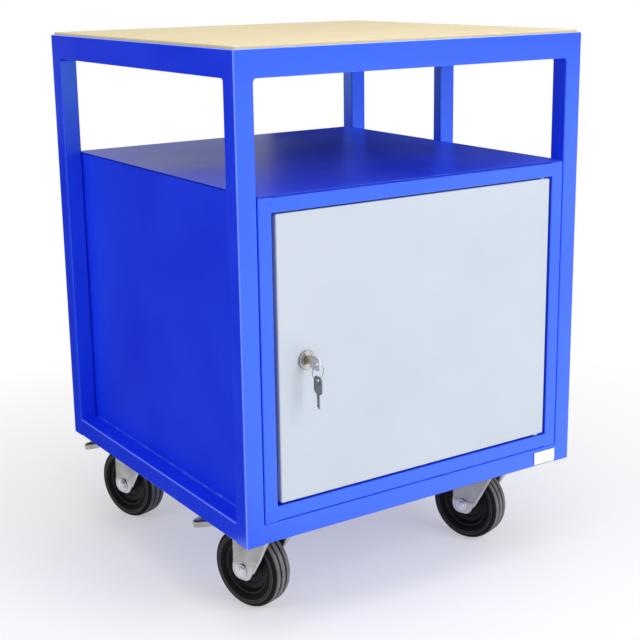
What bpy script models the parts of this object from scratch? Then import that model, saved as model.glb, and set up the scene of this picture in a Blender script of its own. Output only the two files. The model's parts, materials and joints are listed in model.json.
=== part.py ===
"""Mobile workbench: tube frame, framed wooden worktop, lockable cabinet and four swivel castors.

Metres, +Z up, +X to the right of someone who faces the door, the door on the -Y side.
The floor is Z = 0.
"""

import math

import bmesh
import bpy
from mathutils import Matrix, Vector

# Overall sizes
WIDTH = 0.614
DEPTH = 0.600
HEIGHT = 0.850

# Gap that pieces keep where they are welded, bolted or laid on each other
SEAM = 0.0003

# Frame of square tube
POST = 0.030
POST_WALL = 0.002
POST_RADIUS = 0.0025
MIDDLE_POST_DEPTH = 0.020
MIDDLE_POST_BACK = 0.014

# Angle rim round the worktop board
RIM_HEIGHT = 0.038
RIM_SHEET = 0.004
RIM_EDGE = 0.0012
BOARD_PROUD = 0.004
BOARD_EDGE = 0.0010

# Cabinet between the posts
CABINET_CLEAR = 0.0008
CABINET_BACK_INSET = 0.014
SHELF_HEIGHT = 0.6525
SHELF_SHEET = 0.002
PANEL_SHEET = 0.0015
FRONT_TUBE = 0.022
FRONT_TUBE_WALL = 0.0015
FRONT_TUBE_RADIUS = 0.002

# Door pan and its pivots
LATCH_GAP = 0.006
HINGE_GAP = 0.005
DOOR_TOP_GAP = 0.002
DOOR_BOTTOM_GAP = 0.003
DOOR_DEPTH = 0.018
DOOR_SHEET = 0.0012
DOOR_LIP = 0.020
DOOR_BEND = 0.0020
PIVOT_INSET = 0.011
PIVOT_BACK = 0.008
PIN_RADIUS = 0.003
PIN_CLEAR = 0.0004
PIN_REACH = 0.008
WASHER_RADIUS = 0.005
WASHER_PLAY = 0.0003
PIN_HEAD = 0.003

# Lock in the door
LOCK_INSET = 0.045
LOCK_HEIGHT = 0.416
LOCK_FLANGE_RADIUS = 0.0135
LOCK_FLANGE = 0.004
LOCK_BODY_RADIUS = 0.009
LOCK_BEHIND_TUBE = 0.0006
LOCK_NUT_RADIUS = 0.0145
LOCK_NUT = 0.005
PLUG_RADIUS = 0.006
PLUG_PROUD = 0.0008
CAM_SHEET = 0.0025
CAM_WIDTH = 0.016
CAM_OVERLAP = 0.006
CAM_SCREW_RADIUS = 0.0045
CAM_SCREW_HEAD = 0.003

# Two keys and their ring
KEY_SHEET = 0.002
KEY_BLADE = 0.0065
KEY_BLADE_LENGTH = 0.021
KEY_BOW_LENGTH = 0.026
KEY_BOW_WIDTH = 0.020
KEY_BOW_RADIUS = 0.006
KEY_SHOULDER_STANDOFF = 0.004
KEY_HOLE_RADIUS = 0.003
KEY_HOLE_INSET = 0.0055
RING_RADIUS = 0.0095
RING_WIRE = 0.0008

# Castors
CASTOR_INSET = 0.092
CASTOR_TURN = math.radians(18.0)
WHEEL_RADIUS = 0.0625
TYRE_WIDTH = 0.037
TYRE_SHOULDER = 0.007
GROOVE_DEPTH = 0.0022
GROOVE_WIDTH = 0.0032
GROOVE_PITCH = 0.0110
RIM_RADIUS = 0.042
RIM_WIDTH = 0.028
RIM_WALL = 0.005
WEB_SHEET = 0.009
HUB_RADIUS = 0.013
AXLE_RADIUS = 0.006
AXLE_CLEAR = 0.0004
AXLE_HEAD_RADIUS = 0.0095
AXLE_HEAD = 0.0060
TRAIL = 0.035
FORK_SHEET = 0.0035
FORK_PLAY = 0.0025
FORK_FRONT = 0.031
FORK_REAR = 0.018
FORK_TOE = 0.020
FORK_EYE = 0.0145
FORK_LIP = 0.004
CROWN_CLEAR = 0.010
RACE_RADIUS = 0.033
RACE_HEIGHT = 0.008
COVER_RADIUS = 0.037
COVER_HEIGHT = 0.006
KINGPIN_RADIUS = 0.006
KINGPIN_HEAD_RADIUS = 0.011
KINGPIN_HEAD = 0.0035
PLATE_SHEET = 0.003
PLATE_SIZE = (0.085, 0.105)
PLATE_RADIUS = 0.006
BOLT_SPACING = (0.060, 0.080)
BOLT_RADIUS = 0.004
BOLT_CLEAR = 0.0005
BOLT_HEX = 0.0072
BOLT_HEAD = 0.0053
BOLT_END = 0.004
CORNER_PLATE = 0.120
CORNER_PLATE_SHEET = 0.005
CORNER_PLATE_CHAMFER = 0.030

# Brake pedal of the left castors
PEDAL_REACH = 0.153
PEDAL_WIDTH = 0.036
PEDAL_SHEET = 0.0025
PEDAL_TRAY = 0.052
PEDAL_FLANGE = 0.012
PEDAL_TILT = math.radians(7.0)
PEDAL_DROOP = math.radians(11.0)
PEDAL_PIVOT = 0.046
PEDAL_BARREL = 0.004
PEDAL_BARREL_CLEAR = 0.001
PEDAL_PIN = 0.0025
PEDAL_END_PLAY = 0.0005

# Facets of round pieces
ARC_STEPS = 2
WHEEL_STEPS = 24
ROUND_STEPS = 16
SMALL_STEPS = 8
RING_STEPS = 24
WIRE_STEPS = 6

# Places worked out from the sizes above
CROWN_BOTTOM = 2 * WHEEL_RADIUS + CROWN_CLEAR
CROWN_TOP = CROWN_BOTTOM + FORK_SHEET
RACE_TOP = CROWN_TOP + RACE_HEIGHT
COVER_BOTTOM = RACE_TOP + SEAM
PLATE_BOTTOM = COVER_BOTTOM + COVER_HEIGHT
PLATE_TOP = PLATE_BOTTOM + PLATE_SHEET
FRAME_BOTTOM = PLATE_TOP + SEAM
RAIL_TOP = FRAME_BOTTOM + POST
RIM_TOP = HEIGHT - BOARD_PROUD
RIM_BOTTOM = RIM_TOP - RIM_HEIGHT

KEY_REACH = LOCK_FLANGE + PLUG_PROUD + KEY_SHOULDER_STANDOFF + KEY_BOW_LENGTH
PEDAL_TIP_RADIUS = PEDAL_WIDTH / 2
PEDAL_OVERHANG = (PEDAL_REACH - PEDAL_TIP_RADIUS) * math.cos(CASTOR_TURN) + PEDAL_TIP_RADIUS - CASTOR_INSET
RIGHT = WIDTH / 2
LEFT = -RIGHT
FRONT = (KEY_REACH - PEDAL_OVERHANG - DEPTH) / 2
REAR = FRONT + DEPTH
MIDDLE = (FRONT + REAR) / 2

CABINET_LEFT = LEFT + POST + CABINET_CLEAR
CABINET_RIGHT = RIGHT - POST - CABINET_CLEAR
CABINET_REAR = REAR - CABINET_BACK_INSET
SHELF_BOTTOM = SHELF_HEIGHT - SHELF_SHEET
FLOOR_TOP = RAIL_TOP + SEAM + PANEL_SHEET
BEHIND_FRONT_TUBE = FRONT + FRONT_TUBE + SEAM
STILE_INNER_LEFT = CABINET_LEFT + FRONT_TUBE
STILE_INNER_RIGHT = CABINET_RIGHT - FRONT_TUBE
OPENING_BOTTOM = RAIL_TOP + SEAM + FRONT_TUBE
OPENING_TOP = SHELF_BOTTOM - SEAM - FRONT_TUBE

DOOR_LEFT = STILE_INNER_LEFT + LATCH_GAP
DOOR_RIGHT = STILE_INNER_RIGHT - HINGE_GAP
DOOR_BOTTOM = OPENING_BOTTOM + DOOR_BOTTOM_GAP
DOOR_TOP = OPENING_TOP - DOOR_TOP_GAP
HINGE_X = DOOR_RIGHT - PIVOT_INSET
HINGE_Y = FRONT + PIVOT_BACK
LOCK_X = DOOR_LEFT + LOCK_INSET

FORK_INNER = TYRE_WIDTH / 2 + FORK_PLAY
FORK_OUTER = FORK_INNER + FORK_SHEET
PEDAL_PIVOT_HEIGHT = CROWN_BOTTOM - PEDAL_BARREL_CLEAR - PEDAL_BARREL

CASTORS = {
    "front_left": (-1, -1, True),
    "front_right": (1, -1, False),
    "rear_left": (-1, 1, True),
    "rear_right": (1, 1, False),
}

# Colours: linear RGB, roughness, metallic
FINISHES = {
    "blue_paint": ((0.020, 0.085, 0.80), 0.35, 0.0),
    "grey_paint": ((0.58, 0.64, 0.72), 0.40, 0.0),
    "wood": ((0.78, 0.67, 0.42), 0.55, 0.0),
    "zinc": ((0.62, 0.62, 0.60), 0.35, 1.0),
    "chrome": ((0.75, 0.75, 0.74), 0.15, 1.0),
    "brass": ((0.55, 0.48, 0.28), 0.30, 1.0),
    "rubber": ((0.020, 0.020, 0.022), 0.70, 0.0),
    "black_plastic": ((0.012, 0.012, 0.013), 0.45, 0.0),
    "white_plastic": ((0.80, 0.82, 0.84), 0.45, 0.0),
}


def clear_scene():
    """Remove whatever the scene holds."""
    for item in list(bpy.data.objects):
        bpy.data.objects.remove(item, do_unlink=True)


def make_material(name):
    """Principled material with the named finish."""
    colour, roughness, metallic = FINISHES[name]
    material = bpy.data.materials.new(name)
    material.use_nodes = True
    shader = material.node_tree.nodes["Principled BSDF"]
    shader.inputs["Base Color"].default_value = (*colour, 1.0)
    shader.inputs["Roughness"].default_value = roughness
    shader.inputs["Metallic"].default_value = metallic
    return material


def to_mesh(shape, name):
    """Finished mesh of a bmesh, with outward faces and smooth round sides."""
    bmesh.ops.recalc_face_normals(shape, faces=shape.faces)
    mesh = bpy.data.meshes.new(name)
    shape.to_mesh(mesh)
    shape.free()
    mesh.shade_smooth()
    mesh.set_sharp_from_angle(angle=math.radians(32.0))
    return mesh


def add(name, shape, finish, parent=None, location=(0, 0, 0), rotation=(0, 0, 0)):
    """Add a named piece; shape is a bmesh or a mesh that copies share."""
    mesh = shape if isinstance(shape, bpy.types.Mesh) else to_mesh(shape, name)
    if not mesh.materials:
        mesh.materials.append(make_material(finish))
    piece = bpy.data.objects.new(name, mesh)
    piece.location = location
    piece.rotation_euler = rotation
    piece.parent = parent
    bpy.context.scene.collection.objects.link(piece)
    return piece


def pivot(name, location, parent=None, turn=0.0):
    """Empty on a joint's axis, turned about +Z."""
    empty = bpy.data.objects.new(name, None)
    empty.location = location
    empty.rotation_euler = (0, 0, turn)
    empty.parent = parent
    bpy.context.scene.collection.objects.link(empty)
    return empty


def turned(shape, angle, axis, centre=(0, 0, 0)):
    """Turn a bmesh about an axis through centre."""
    bmesh.ops.rotate(shape, verts=shape.verts, cent=centre, matrix=Matrix.Rotation(angle, 3, axis))
    return shape


def moved(shape, offset):
    """Move a bmesh."""
    bmesh.ops.translate(shape, verts=shape.verts, vec=offset)
    return shape


def arc(centre, radius, start, end, steps):
    """Points on an arc, angles in radians."""
    angles = [start + (end - start) * step / steps for step in range(steps + 1)]
    return [(centre[0] + radius * math.cos(a), centre[1] + radius * math.sin(a)) for a in angles]


def rounded_rectangle(width, depth, radius):
    """Outline of a rectangle with round corners, centred."""
    x = width / 2 - radius
    y = depth / 2 - radius
    quarter = math.pi / 2
    outline = []
    for turn, centre in enumerate([(x, y), (-x, y), (-x, -y), (x, -y)]):
        outline += arc(centre, radius, turn * quarter, (turn + 1) * quarter, ARC_STEPS)
    return outline


def prism(outline, low, high):
    """Outline in the XY plane, extruded from low to high along Z."""
    shape = bmesh.new()
    face = shape.faces.new([shape.verts.new((x, y, low)) for x, y in outline])
    grown = bmesh.ops.extrude_face_region(shape, geom=[face])["geom"]
    top = [item for item in grown if isinstance(item, bmesh.types.BMVert)]
    bmesh.ops.translate(shape, verts=top, vec=(0, 0, high - low))
    return shape


def box(x, y, z, edge=0.0):
    """Box between pairs of coordinates, its edges rounded by edge."""
    shape = prism([(x[0], y[0]), (x[1], y[0]), (x[1], y[1]), (x[0], y[1])], *z)
    if edge:
        bmesh.ops.bevel(shape, geom=shape.edges[:], offset=edge, segments=2, profile=0.5, affect="EDGES")
    return shape


def cylinder(radius, low, high, steps=ROUND_STEPS):
    """Cylinder on the Z axis."""
    return prism(arc((0, 0), radius, 0, math.tau * (steps - 1) / steps, steps - 1), low, high)


def lathe(profile, steps=ROUND_STEPS, ring=False):
    """Turn a profile of (radius, height) points about Z; a ring's profile closes on itself."""
    shape = bmesh.new()
    points = [shape.verts.new((radius, 0, height)) for radius, height in profile]
    pairs = list(zip(points, points[1:]))
    if ring:
        pairs.append((points[-1], points[0]))
    edges = [shape.edges.new(pair) for pair in pairs]
    bmesh.ops.spin(
        shape, geom=points + edges, cent=(0, 0, 0), axis=(0, 0, 1),
        angle=math.tau, steps=steps, use_merge=True,
    )
    bmesh.ops.remove_doubles(shape, verts=shape.verts, dist=1e-6)
    return shape


def tube(width, depth, length, wall, radius):
    """Rectangular tube along Z, open at its ends, centred."""
    shape = bmesh.new()
    edges = []
    inner_radius = max(radius - wall, wall / 4)
    for outline in (
        rounded_rectangle(width, depth, radius),
        rounded_rectangle(width - 2 * wall, depth - 2 * wall, inner_radius),
    ):
        loop = [shape.verts.new((x, y, -length / 2)) for x, y in outline]
        edges += [shape.edges.new((loop[i - 1], loop[i])) for i in range(len(loop))]
    end = bmesh.ops.bridge_loops(shape, edges=edges)["faces"]
    grown = bmesh.ops.extrude_face_region(shape, geom=end)["geom"]
    far = [item for item in grown if isinstance(item, bmesh.types.BMVert)]
    bmesh.ops.translate(shape, verts=far, vec=(0, 0, length))
    return shape


def combined(operation, base, *others):
    """Result of a Boolean of base with each of the others in turn."""
    for other in others:
        holder = bpy.data.objects.new("holder", to_mesh(base, "holder"))
        cutter = bpy.data.objects.new("cutter", to_mesh(other, "cutter"))
        for item in (holder, cutter):
            bpy.context.scene.collection.objects.link(item)
        step = holder.modifiers.new("step", "BOOLEAN")
        step.operation = operation
        step.solver = "EXACT"
        step.object = cutter
        result = holder.evaluated_get(bpy.context.evaluated_depsgraph_get())
        base = bmesh.new()
        base.from_mesh(result.data)
        bmesh.ops.dissolve_limit(base, angle_limit=math.radians(0.1), verts=base.verts, edges=base.edges)
        for item in (holder, cutter):
            bpy.data.objects.remove(item, do_unlink=True)
    return base


def along_x(shape):
    """Lay a shape that stands on Z along X."""
    return turned(shape, math.pi / 2, "Y")


def along_y(shape):
    """Lay a shape that stands on Z along Y."""
    return turned(shape, -math.pi / 2, "X")


def build_frame():
    """Corner posts, bottom rails and the extra upright in the right side."""
    post_length = RIM_BOTTOM - SEAM - FRAME_BOTTOM
    post_mesh = to_mesh(tube(POST, POST, post_length, POST_WALL, POST_RADIUS), "post")
    post_centre = FRAME_BOTTOM + post_length / 2
    rail_centre = FRAME_BOTTOM + POST / 2
    side = {-1: LEFT + POST / 2, 1: RIGHT - POST / 2}
    face = {-1: FRONT + POST / 2, 1: REAR - POST / 2}
    for corner, (right, rear, _) in CASTORS.items():
        add(f"post_{corner}", post_mesh, "blue_paint", location=(side[right], face[rear], post_centre))
    cross = to_mesh(along_x(tube(POST, POST, WIDTH - 2 * (POST + SEAM), POST_WALL, POST_RADIUS)), "cross_rail")
    flank = to_mesh(along_y(tube(POST, POST, DEPTH - 2 * (POST + SEAM), POST_WALL, POST_RADIUS)), "side_rail")
    add("bottom_rail_front", cross, "blue_paint", location=(0, face[-1], rail_centre))
    add("bottom_rail_rear", cross, "blue_paint", location=(0, face[1], rail_centre))
    add("bottom_rail_left", flank, "blue_paint", location=(side[-1], MIDDLE, rail_centre))
    add("bottom_rail_right", flank, "blue_paint", location=(side[1], MIDDLE, rail_centre))
    low = RAIL_TOP + SEAM
    high = RIM_BOTTOM - SEAM
    upright = tube(POST, MIDDLE_POST_DEPTH, high - low, POST_WALL, POST_RADIUS)
    place = (side[1], MIDDLE + MIDDLE_POST_BACK, (low + high) / 2)
    add("post_right_middle", upright, "blue_paint", location=place)


def rim_rail(length):
    """Angle section along X with mitred ends; its upright leg stands on the -Y side."""
    section = [
        (0, RIM_EDGE), (RIM_EDGE, 0), (POST, 0), (POST, RIM_SHEET), (RIM_SHEET, RIM_SHEET),
        (RIM_SHEET, RIM_HEIGHT - RIM_EDGE), (RIM_SHEET - RIM_EDGE, RIM_HEIGHT),
        (RIM_EDGE, RIM_HEIGHT), (0, RIM_HEIGHT - RIM_EDGE),
    ]
    shape = bmesh.new()
    ends = []
    for sign in (-1, 1):
        half = length / 2 - SEAM
        ends.append([shape.verts.new((sign * (half - inset), inset, height)) for inset, height in section])
    count = len(section)
    for i in range(count):
        shape.faces.new((ends[0][i - 1], ends[0][i], ends[1][i], ends[1][i - 1]))
    for end in ends:
        shape.faces.new(end)
    return shape


def build_worktop():
    """Angle rim on the posts and the board that lies in it."""
    cross = to_mesh(rim_rail(WIDTH), "rim_cross")
    flank = to_mesh(rim_rail(DEPTH), "rim_side")
    add("rim_front", cross, "blue_paint", location=(0, FRONT, RIM_BOTTOM))
    add("rim_rear", cross, "blue_paint", location=(0, REAR, RIM_BOTTOM), rotation=(0, 0, math.pi))
    add("rim_left", flank, "blue_paint", location=(LEFT, MIDDLE, RIM_BOTTOM), rotation=(0, 0, -math.pi / 2))
    add("rim_right", flank, "blue_paint", location=(RIGHT, MIDDLE, RIM_BOTTOM), rotation=(0, 0, math.pi / 2))
    inset = RIM_SHEET + SEAM
    board = box(
        (LEFT + inset, RIGHT - inset), (FRONT + inset, REAR - inset),
        (RIM_BOTTOM + RIM_SHEET + SEAM, HEIGHT), BOARD_EDGE,
    )
    add("worktop_board", board, "wood")


def pivot_bore(low, high):
    """Cutter for the bore of a door pin in the front frame or the door."""
    return moved(cylinder(PIN_RADIUS + PIN_CLEAR, low, high), (HINGE_X, HINGE_Y, 0))


def build_cabinet():
    """Sheet panels, shelf and the tube frame round the door."""
    span = (CABINET_LEFT, CABINET_RIGHT)
    floor = box(span, (BEHIND_FRONT_TUBE, CABINET_REAR), (RAIL_TOP + SEAM, FLOOR_TOP))
    add("cabinet_floor", floor, "blue_paint")
    walls = (FLOOR_TOP + SEAM, SHELF_BOTTOM - SEAM)
    run = (BEHIND_FRONT_TUBE, CABINET_REAR - PANEL_SHEET - SEAM)
    add("cabinet_left_panel", box((CABINET_LEFT, CABINET_LEFT + PANEL_SHEET), run, walls), "blue_paint")
    add("cabinet_right_panel", box((CABINET_RIGHT - PANEL_SHEET, CABINET_RIGHT), run, walls), "blue_paint")
    back = box(span, (CABINET_REAR - PANEL_SHEET, CABINET_REAR), walls)
    add("cabinet_back_panel", back, "blue_paint")
    shelf = box(span, (FRONT, CABINET_REAR), (SHELF_BOTTOM, SHELF_HEIGHT))
    add("shelf", shelf, "blue_paint")

    low = RAIL_TOP + SEAM
    high = SHELF_BOTTOM - SEAM
    middle = FRONT + FRONT_TUBE / 2
    section = (FRONT_TUBE, FRONT_TUBE)
    finish = (FRONT_TUBE_WALL, FRONT_TUBE_RADIUS)
    stile = to_mesh(tube(*section, high - low, *finish), "stile")
    stile_middle = (low + high) / 2
    for name, x in (("left", CABINET_LEFT + FRONT_TUBE / 2), ("right", CABINET_RIGHT - FRONT_TUBE / 2)):
        add(f"front_stile_{name}", stile, "blue_paint", location=(x, middle, stile_middle))
    length = STILE_INNER_RIGHT - STILE_INNER_LEFT - 2 * SEAM
    for name, height, bore in (
        ("top", high - FRONT_TUBE / 2, (OPENING_TOP - PIN_RADIUS, OPENING_TOP + FRONT_TUBE / 2)),
        ("bottom", low + FRONT_TUBE / 2, (OPENING_BOTTOM - FRONT_TUBE / 2, OPENING_BOTTOM + PIN_RADIUS)),
    ):
        rail = moved(along_x(tube(*section, length, *finish)), (0, middle, height))
        add(f"front_rail_{name}", combined("DIFFERENCE", rail, pivot_bore(*bore)), "blue_paint")


def door_pan():
    """Folded door: a face, four flanges and a lip behind, with holes for the lock and the pins."""
    face = FRONT
    back = FRONT + DOOR_DEPTH
    x = (DOOR_LEFT, DOOR_RIGHT)
    z = (DOOR_BOTTOM, DOOR_TOP)
    pan = box(x, (face, back), z, DOOR_BEND)
    sheet = DOOR_SHEET
    hollow = box(
        (x[0] + sheet, x[1] - sheet), (face + sheet, back - sheet), (z[0] + sheet, z[1] - sheet)
    )
    mouth = box(
        (x[0] + DOOR_LIP, x[1] - DOOR_LIP), (back - 2 * sheet, back + sheet), (z[0] + DOOR_LIP, z[1] - DOOR_LIP)
    )
    hole = along_y(cylinder(LOCK_BODY_RADIUS + SEAM, -2 * sheet, 2 * sheet))
    hole = moved(hole, (LOCK_X, face, LOCK_HEIGHT))
    low_bore = pivot_bore(DOOR_BOTTOM - sheet, DOOR_BOTTOM + 2 * sheet)
    high_bore = pivot_bore(DOOR_TOP - 2 * sheet, DOOR_TOP + sheet)
    return combined("DIFFERENCE", pan, mouth, hollow, hole, low_bore, high_bore)


def door_pin(gap):
    """Pin with a head inside the flange and a washer that fills the gap outside; flange face at Z = 0."""
    washer = gap - WASHER_PLAY
    inside = -DOOR_SHEET - SEAM
    return lathe([
        (0, inside - PIN_HEAD), (WASHER_RADIUS, inside - PIN_HEAD), (WASHER_RADIUS, inside),
        (PIN_RADIUS, inside), (PIN_RADIUS, SEAM), (WASHER_RADIUS, SEAM), (WASHER_RADIUS, washer),
        (PIN_RADIUS, washer), (PIN_RADIUS, gap + PIN_REACH), (0, gap + PIN_REACH),
    ], SMALL_STEPS)


def build_door():
    """Door pan and its two pivot pins, on the hinge axis."""
    hinge = pivot("door_axis", (HINGE_X, HINGE_Y, DOOR_BOTTOM))
    offset = -Vector(hinge.location)
    add("door_pan", moved(door_pan(), offset), "grey_paint", hinge)
    add("door_pin_bottom", turned(door_pin(DOOR_BOTTOM_GAP), math.pi, "X"), "white_plastic", hinge)
    height = DOOR_TOP - DOOR_BOTTOM
    add("door_pin_top", door_pin(DOOR_TOP_GAP), "white_plastic", hinge, location=(0, 0, height))
    return hinge


def key_mesh():
    """Flat key in the YZ plane, the ring hole at its origin and the blade along +Y."""
    bow_end = -KEY_HOLE_INSET
    shoulder = bow_end + KEY_BOW_LENGTH
    half_bow = KEY_BOW_WIDTH / 2
    half_blade = KEY_BLADE / 2
    radius = KEY_BOW_RADIUS
    quarter = math.pi / 2
    outline = [(shoulder + KEY_BLADE_LENGTH - half_blade, half_blade), (shoulder, half_blade)]
    corners = [
        (shoulder - radius, half_bow - radius), (bow_end + radius, half_bow - radius),
        (bow_end + radius, radius - half_bow), (shoulder - radius, radius - half_bow),
    ]
    for turn, centre in enumerate(corners):
        outline += arc(centre, radius, turn * quarter, (turn + 1) * quarter, ARC_STEPS)
    outline += [(shoulder, -half_blade), (shoulder + KEY_BLADE_LENGTH, -half_blade)]
    blank = prism(outline, -KEY_SHEET / 2, KEY_SHEET / 2)
    hole = cylinder(KEY_HOLE_RADIUS, -KEY_SHEET, KEY_SHEET, SMALL_STEPS)
    key = combined("DIFFERENCE", blank, hole)
    bmesh.ops.rotate(key, verts=key.verts, matrix=Matrix(((0, 0, 1), (1, 0, 0), (0, 1, 0))))
    return to_mesh(key, "key")


def build_lock(hinge):
    """Lock body and nut on the door; plug, cam and key turn together; ring and second key hang."""
    place = Vector((LOCK_X, FRONT, LOCK_HEIGHT)) - hinge.location
    seat = pivot("lock_axis", place, hinge)
    cam_front = FRONT_TUBE + LOCK_BEHIND_TUBE
    plug_end = cam_front - SEAM
    body_end = plug_end - SEAM
    bore = PLUG_RADIUS + SEAM
    edge = LOCK_FLANGE / 3
    body = lathe([
        (bore, -LOCK_FLANGE), (LOCK_FLANGE_RADIUS - edge, -LOCK_FLANGE),
        (LOCK_FLANGE_RADIUS, edge - LOCK_FLANGE), (LOCK_FLANGE_RADIUS, -SEAM), (LOCK_BODY_RADIUS, -SEAM),
        (LOCK_BODY_RADIUS, body_end), (bore, body_end),
    ], ring=True)
    add("lock_body", along_y(body), "chrome", seat)
    nut = cylinder(LOCK_NUT_RADIUS, DOOR_SHEET + SEAM, DOOR_SHEET + SEAM + LOCK_NUT, 6)
    thread = cylinder(LOCK_BODY_RADIUS + SEAM, 0, LOCK_NUT_RADIUS)
    add("lock_nut", along_y(combined("DIFFERENCE", nut, thread)), "zinc", seat)

    plug_front = -LOCK_FLANGE - PLUG_PROUD
    plug = along_y(cylinder(PLUG_RADIUS, plug_front, plug_end))
    half_slot = KEY_SHEET / 2 + SEAM
    half_height = KEY_BLADE / 2 + SEAM
    slot_end = plug_front + KEY_BLADE_LENGTH - KEY_SHOULDER_STANDOFF + SEAM
    slot = box((-half_slot, half_slot), (plug_front - SEAM, slot_end), (-half_height, half_height))
    add("lock_plug", combined("DIFFERENCE", plug, slot), "brass", seat)

    reach = LOCK_X - STILE_INNER_LEFT + CAM_OVERLAP
    half_cam = CAM_WIDTH / 2
    outline = arc((0, 0), half_cam, math.pi, math.tau, 2 * ARC_STEPS)
    outline += arc((0, reach - half_cam), half_cam, 0, math.pi, 2 * ARC_STEPS)
    cam = prism(outline, -cam_front - CAM_SHEET, -cam_front)
    screw_top = -cam_front - CAM_SHEET / 2
    screw = cylinder(CAM_SCREW_RADIUS, -cam_front - CAM_SHEET - CAM_SCREW_HEAD, screw_top, SMALL_STEPS)
    cam = turned(combined("UNION", cam, screw), math.pi / 2, "X")
    add("lock_cam", cam, "zinc", seat)

    shared_key = key_mesh()
    hole_y = plug_front - KEY_SHOULDER_STANDOFF - KEY_BOW_LENGTH + KEY_HOLE_INSET
    add("key", shared_key, "zinc", seat, location=(0, hole_y, 0))
    drop = KEY_HOLE_RADIUS - RING_WIRE - SEAM
    hook = pivot("ring_axis", (0, hole_y, -drop), seat)
    wire = arc((RING_RADIUS, 0), RING_WIRE, 0, math.tau * (WIRE_STEPS - 1) / WIRE_STEPS, WIRE_STEPS - 1)
    ring = turned(lathe(wire, RING_STEPS, ring=True), math.pi / 2, "X")
    add("key_ring", moved(ring, (0, 0, -RING_RADIUS)), "zinc", hook)
    loop = pivot("spare_key_axis", (0, 0, -2 * RING_RADIUS), hook)
    add("spare_key", shared_key, "zinc", loop, location=(0, 0, -drop), rotation=(-math.pi / 2, 0, 0))


def bolt_places():
    """Bolt positions round a castor's swivel axis."""
    x, y = BOLT_SPACING
    return [(i * x / 2, j * y / 2) for i in (-1, 1) for j in (-1, 1)]


def bolt_holes(low, high):
    """Cutters for the bolts round a castor's swivel axis."""
    radius = BOLT_RADIUS + BOLT_CLEAR
    return [moved(cylinder(radius, low, high, SMALL_STEPS), (x, y, 0)) for x, y in bolt_places()]


def castor_plate():
    """Top plate of a castor with its race cover, and the kingpin that carries the fork."""
    plate = prism(rounded_rectangle(*PLATE_SIZE, PLATE_RADIUS), PLATE_BOTTOM, PLATE_TOP)
    plate = combined("DIFFERENCE", plate, *bolt_holes(PLATE_BOTTOM - PLATE_SHEET, PLATE_TOP + PLATE_SHEET))
    sunk = PLATE_BOTTOM + PLATE_SHEET / 2
    head_top = CROWN_BOTTOM - SEAM
    head_bottom = head_top - KINGPIN_HEAD
    kingpin = lathe([
        (0, head_bottom), (KINGPIN_HEAD_RADIUS, head_bottom), (KINGPIN_HEAD_RADIUS, head_top),
        (KINGPIN_RADIUS, head_top), (KINGPIN_RADIUS, COVER_BOTTOM), (COVER_RADIUS, COVER_BOTTOM),
        (COVER_RADIUS, PLATE_BOTTOM - COVER_HEIGHT / 3), (RACE_RADIUS, sunk), (0, sunk),
    ])
    return combined("UNION", plate, kingpin)


def leg_outline():
    """Fork leg seen from the side: a wide top that tapers to a short rounded foot round the axle."""
    top_front = Vector((-FORK_FRONT, CROWN_TOP))
    toe = Vector((TRAIL - FORK_TOE + FORK_EYE, WHEEL_RADIUS))
    heel = (TRAIL + FORK_REAR - FORK_EYE, WHEEL_RADIUS)
    reach = (top_front - toe).length
    toward = math.atan2(top_front.y - toe.y, top_front.x - toe.x)
    front = toward + math.acos(FORK_EYE / reach)
    under = 1.5 * math.pi
    foot = arc(toe, FORK_EYE, front, under, 2 * ARC_STEPS) + arc(heel, FORK_EYE, under, math.tau, 2 * ARC_STEPS)
    return [tuple(top_front)] + foot + [(TRAIL + FORK_REAR, CROWN_TOP)]


def lip_outline():
    """Lip along the front edge of a fork leg, as thick as its sheet."""
    start, end = [Vector(point) for point in leg_outline()[:2]]
    run = (end - start).normalized()
    inward = Vector((-run.y, run.x)) * FORK_SHEET
    top = start - run * (start.y - CROWN_BOTTOM) / run.y
    return [tuple(top), tuple(end), tuple(end + inward), tuple(top + inward)]


def on_side(outline, near, far):
    """Outline in the YZ plane, extruded along X from near to far."""
    shape = prism(outline, near, far)
    bmesh.ops.rotate(shape, verts=shape.verts, matrix=Matrix(((0, 0, 1), (1, 0, 0), (0, 1, 0))))
    return shape


def fork(with_brake):
    """Pressed fork: crown, lower race, two legs with a lip, bores for kingpin, axle and brake pin."""
    crown_span = (-FORK_FRONT, TRAIL + FORK_REAR)
    shape = box((-FORK_INNER, FORK_INNER), crown_span, (CROWN_BOTTOM, CROWN_TOP))
    sunk = CROWN_BOTTOM + FORK_SHEET / 2
    race = lathe([
        (0, sunk), (RACE_RADIUS - RACE_HEIGHT / 3, sunk), (RACE_RADIUS, CROWN_TOP + RACE_HEIGHT / 3),
        (RACE_RADIUS, RACE_TOP), (0, RACE_TOP),
    ])
    parts = []
    for side in (-1, 1):
        parts.append(on_side(leg_outline(), *sorted((side * (FORK_INNER - SEAM), side * FORK_OUTER))))
        lip = sorted((side * (FORK_OUTER - FORK_SHEET / 2), side * (FORK_OUTER + FORK_LIP)))
        parts.append(on_side(lip_outline(), *lip))
    shape = combined("UNION", shape, *parts, race)
    holes = [
        cylinder(KINGPIN_RADIUS + AXLE_CLEAR, CROWN_BOTTOM - FORK_SHEET, RACE_TOP + FORK_SHEET),
        moved(along_x(cylinder(AXLE_RADIUS + AXLE_CLEAR, -2 * FORK_OUTER, 2 * FORK_OUTER)), (0, TRAIL, WHEEL_RADIUS)),
    ]
    if with_brake:
        pin = along_x(cylinder(PEDAL_PIN + AXLE_CLEAR, -2 * FORK_OUTER, 2 * FORK_OUTER, SMALL_STEPS))
        holes.append(moved(pin, (0, PEDAL_PIVOT, PEDAL_PIVOT_HEIGHT)))
    return to_mesh(combined("DIFFERENCE", shape, *holes), "fork")


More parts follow.
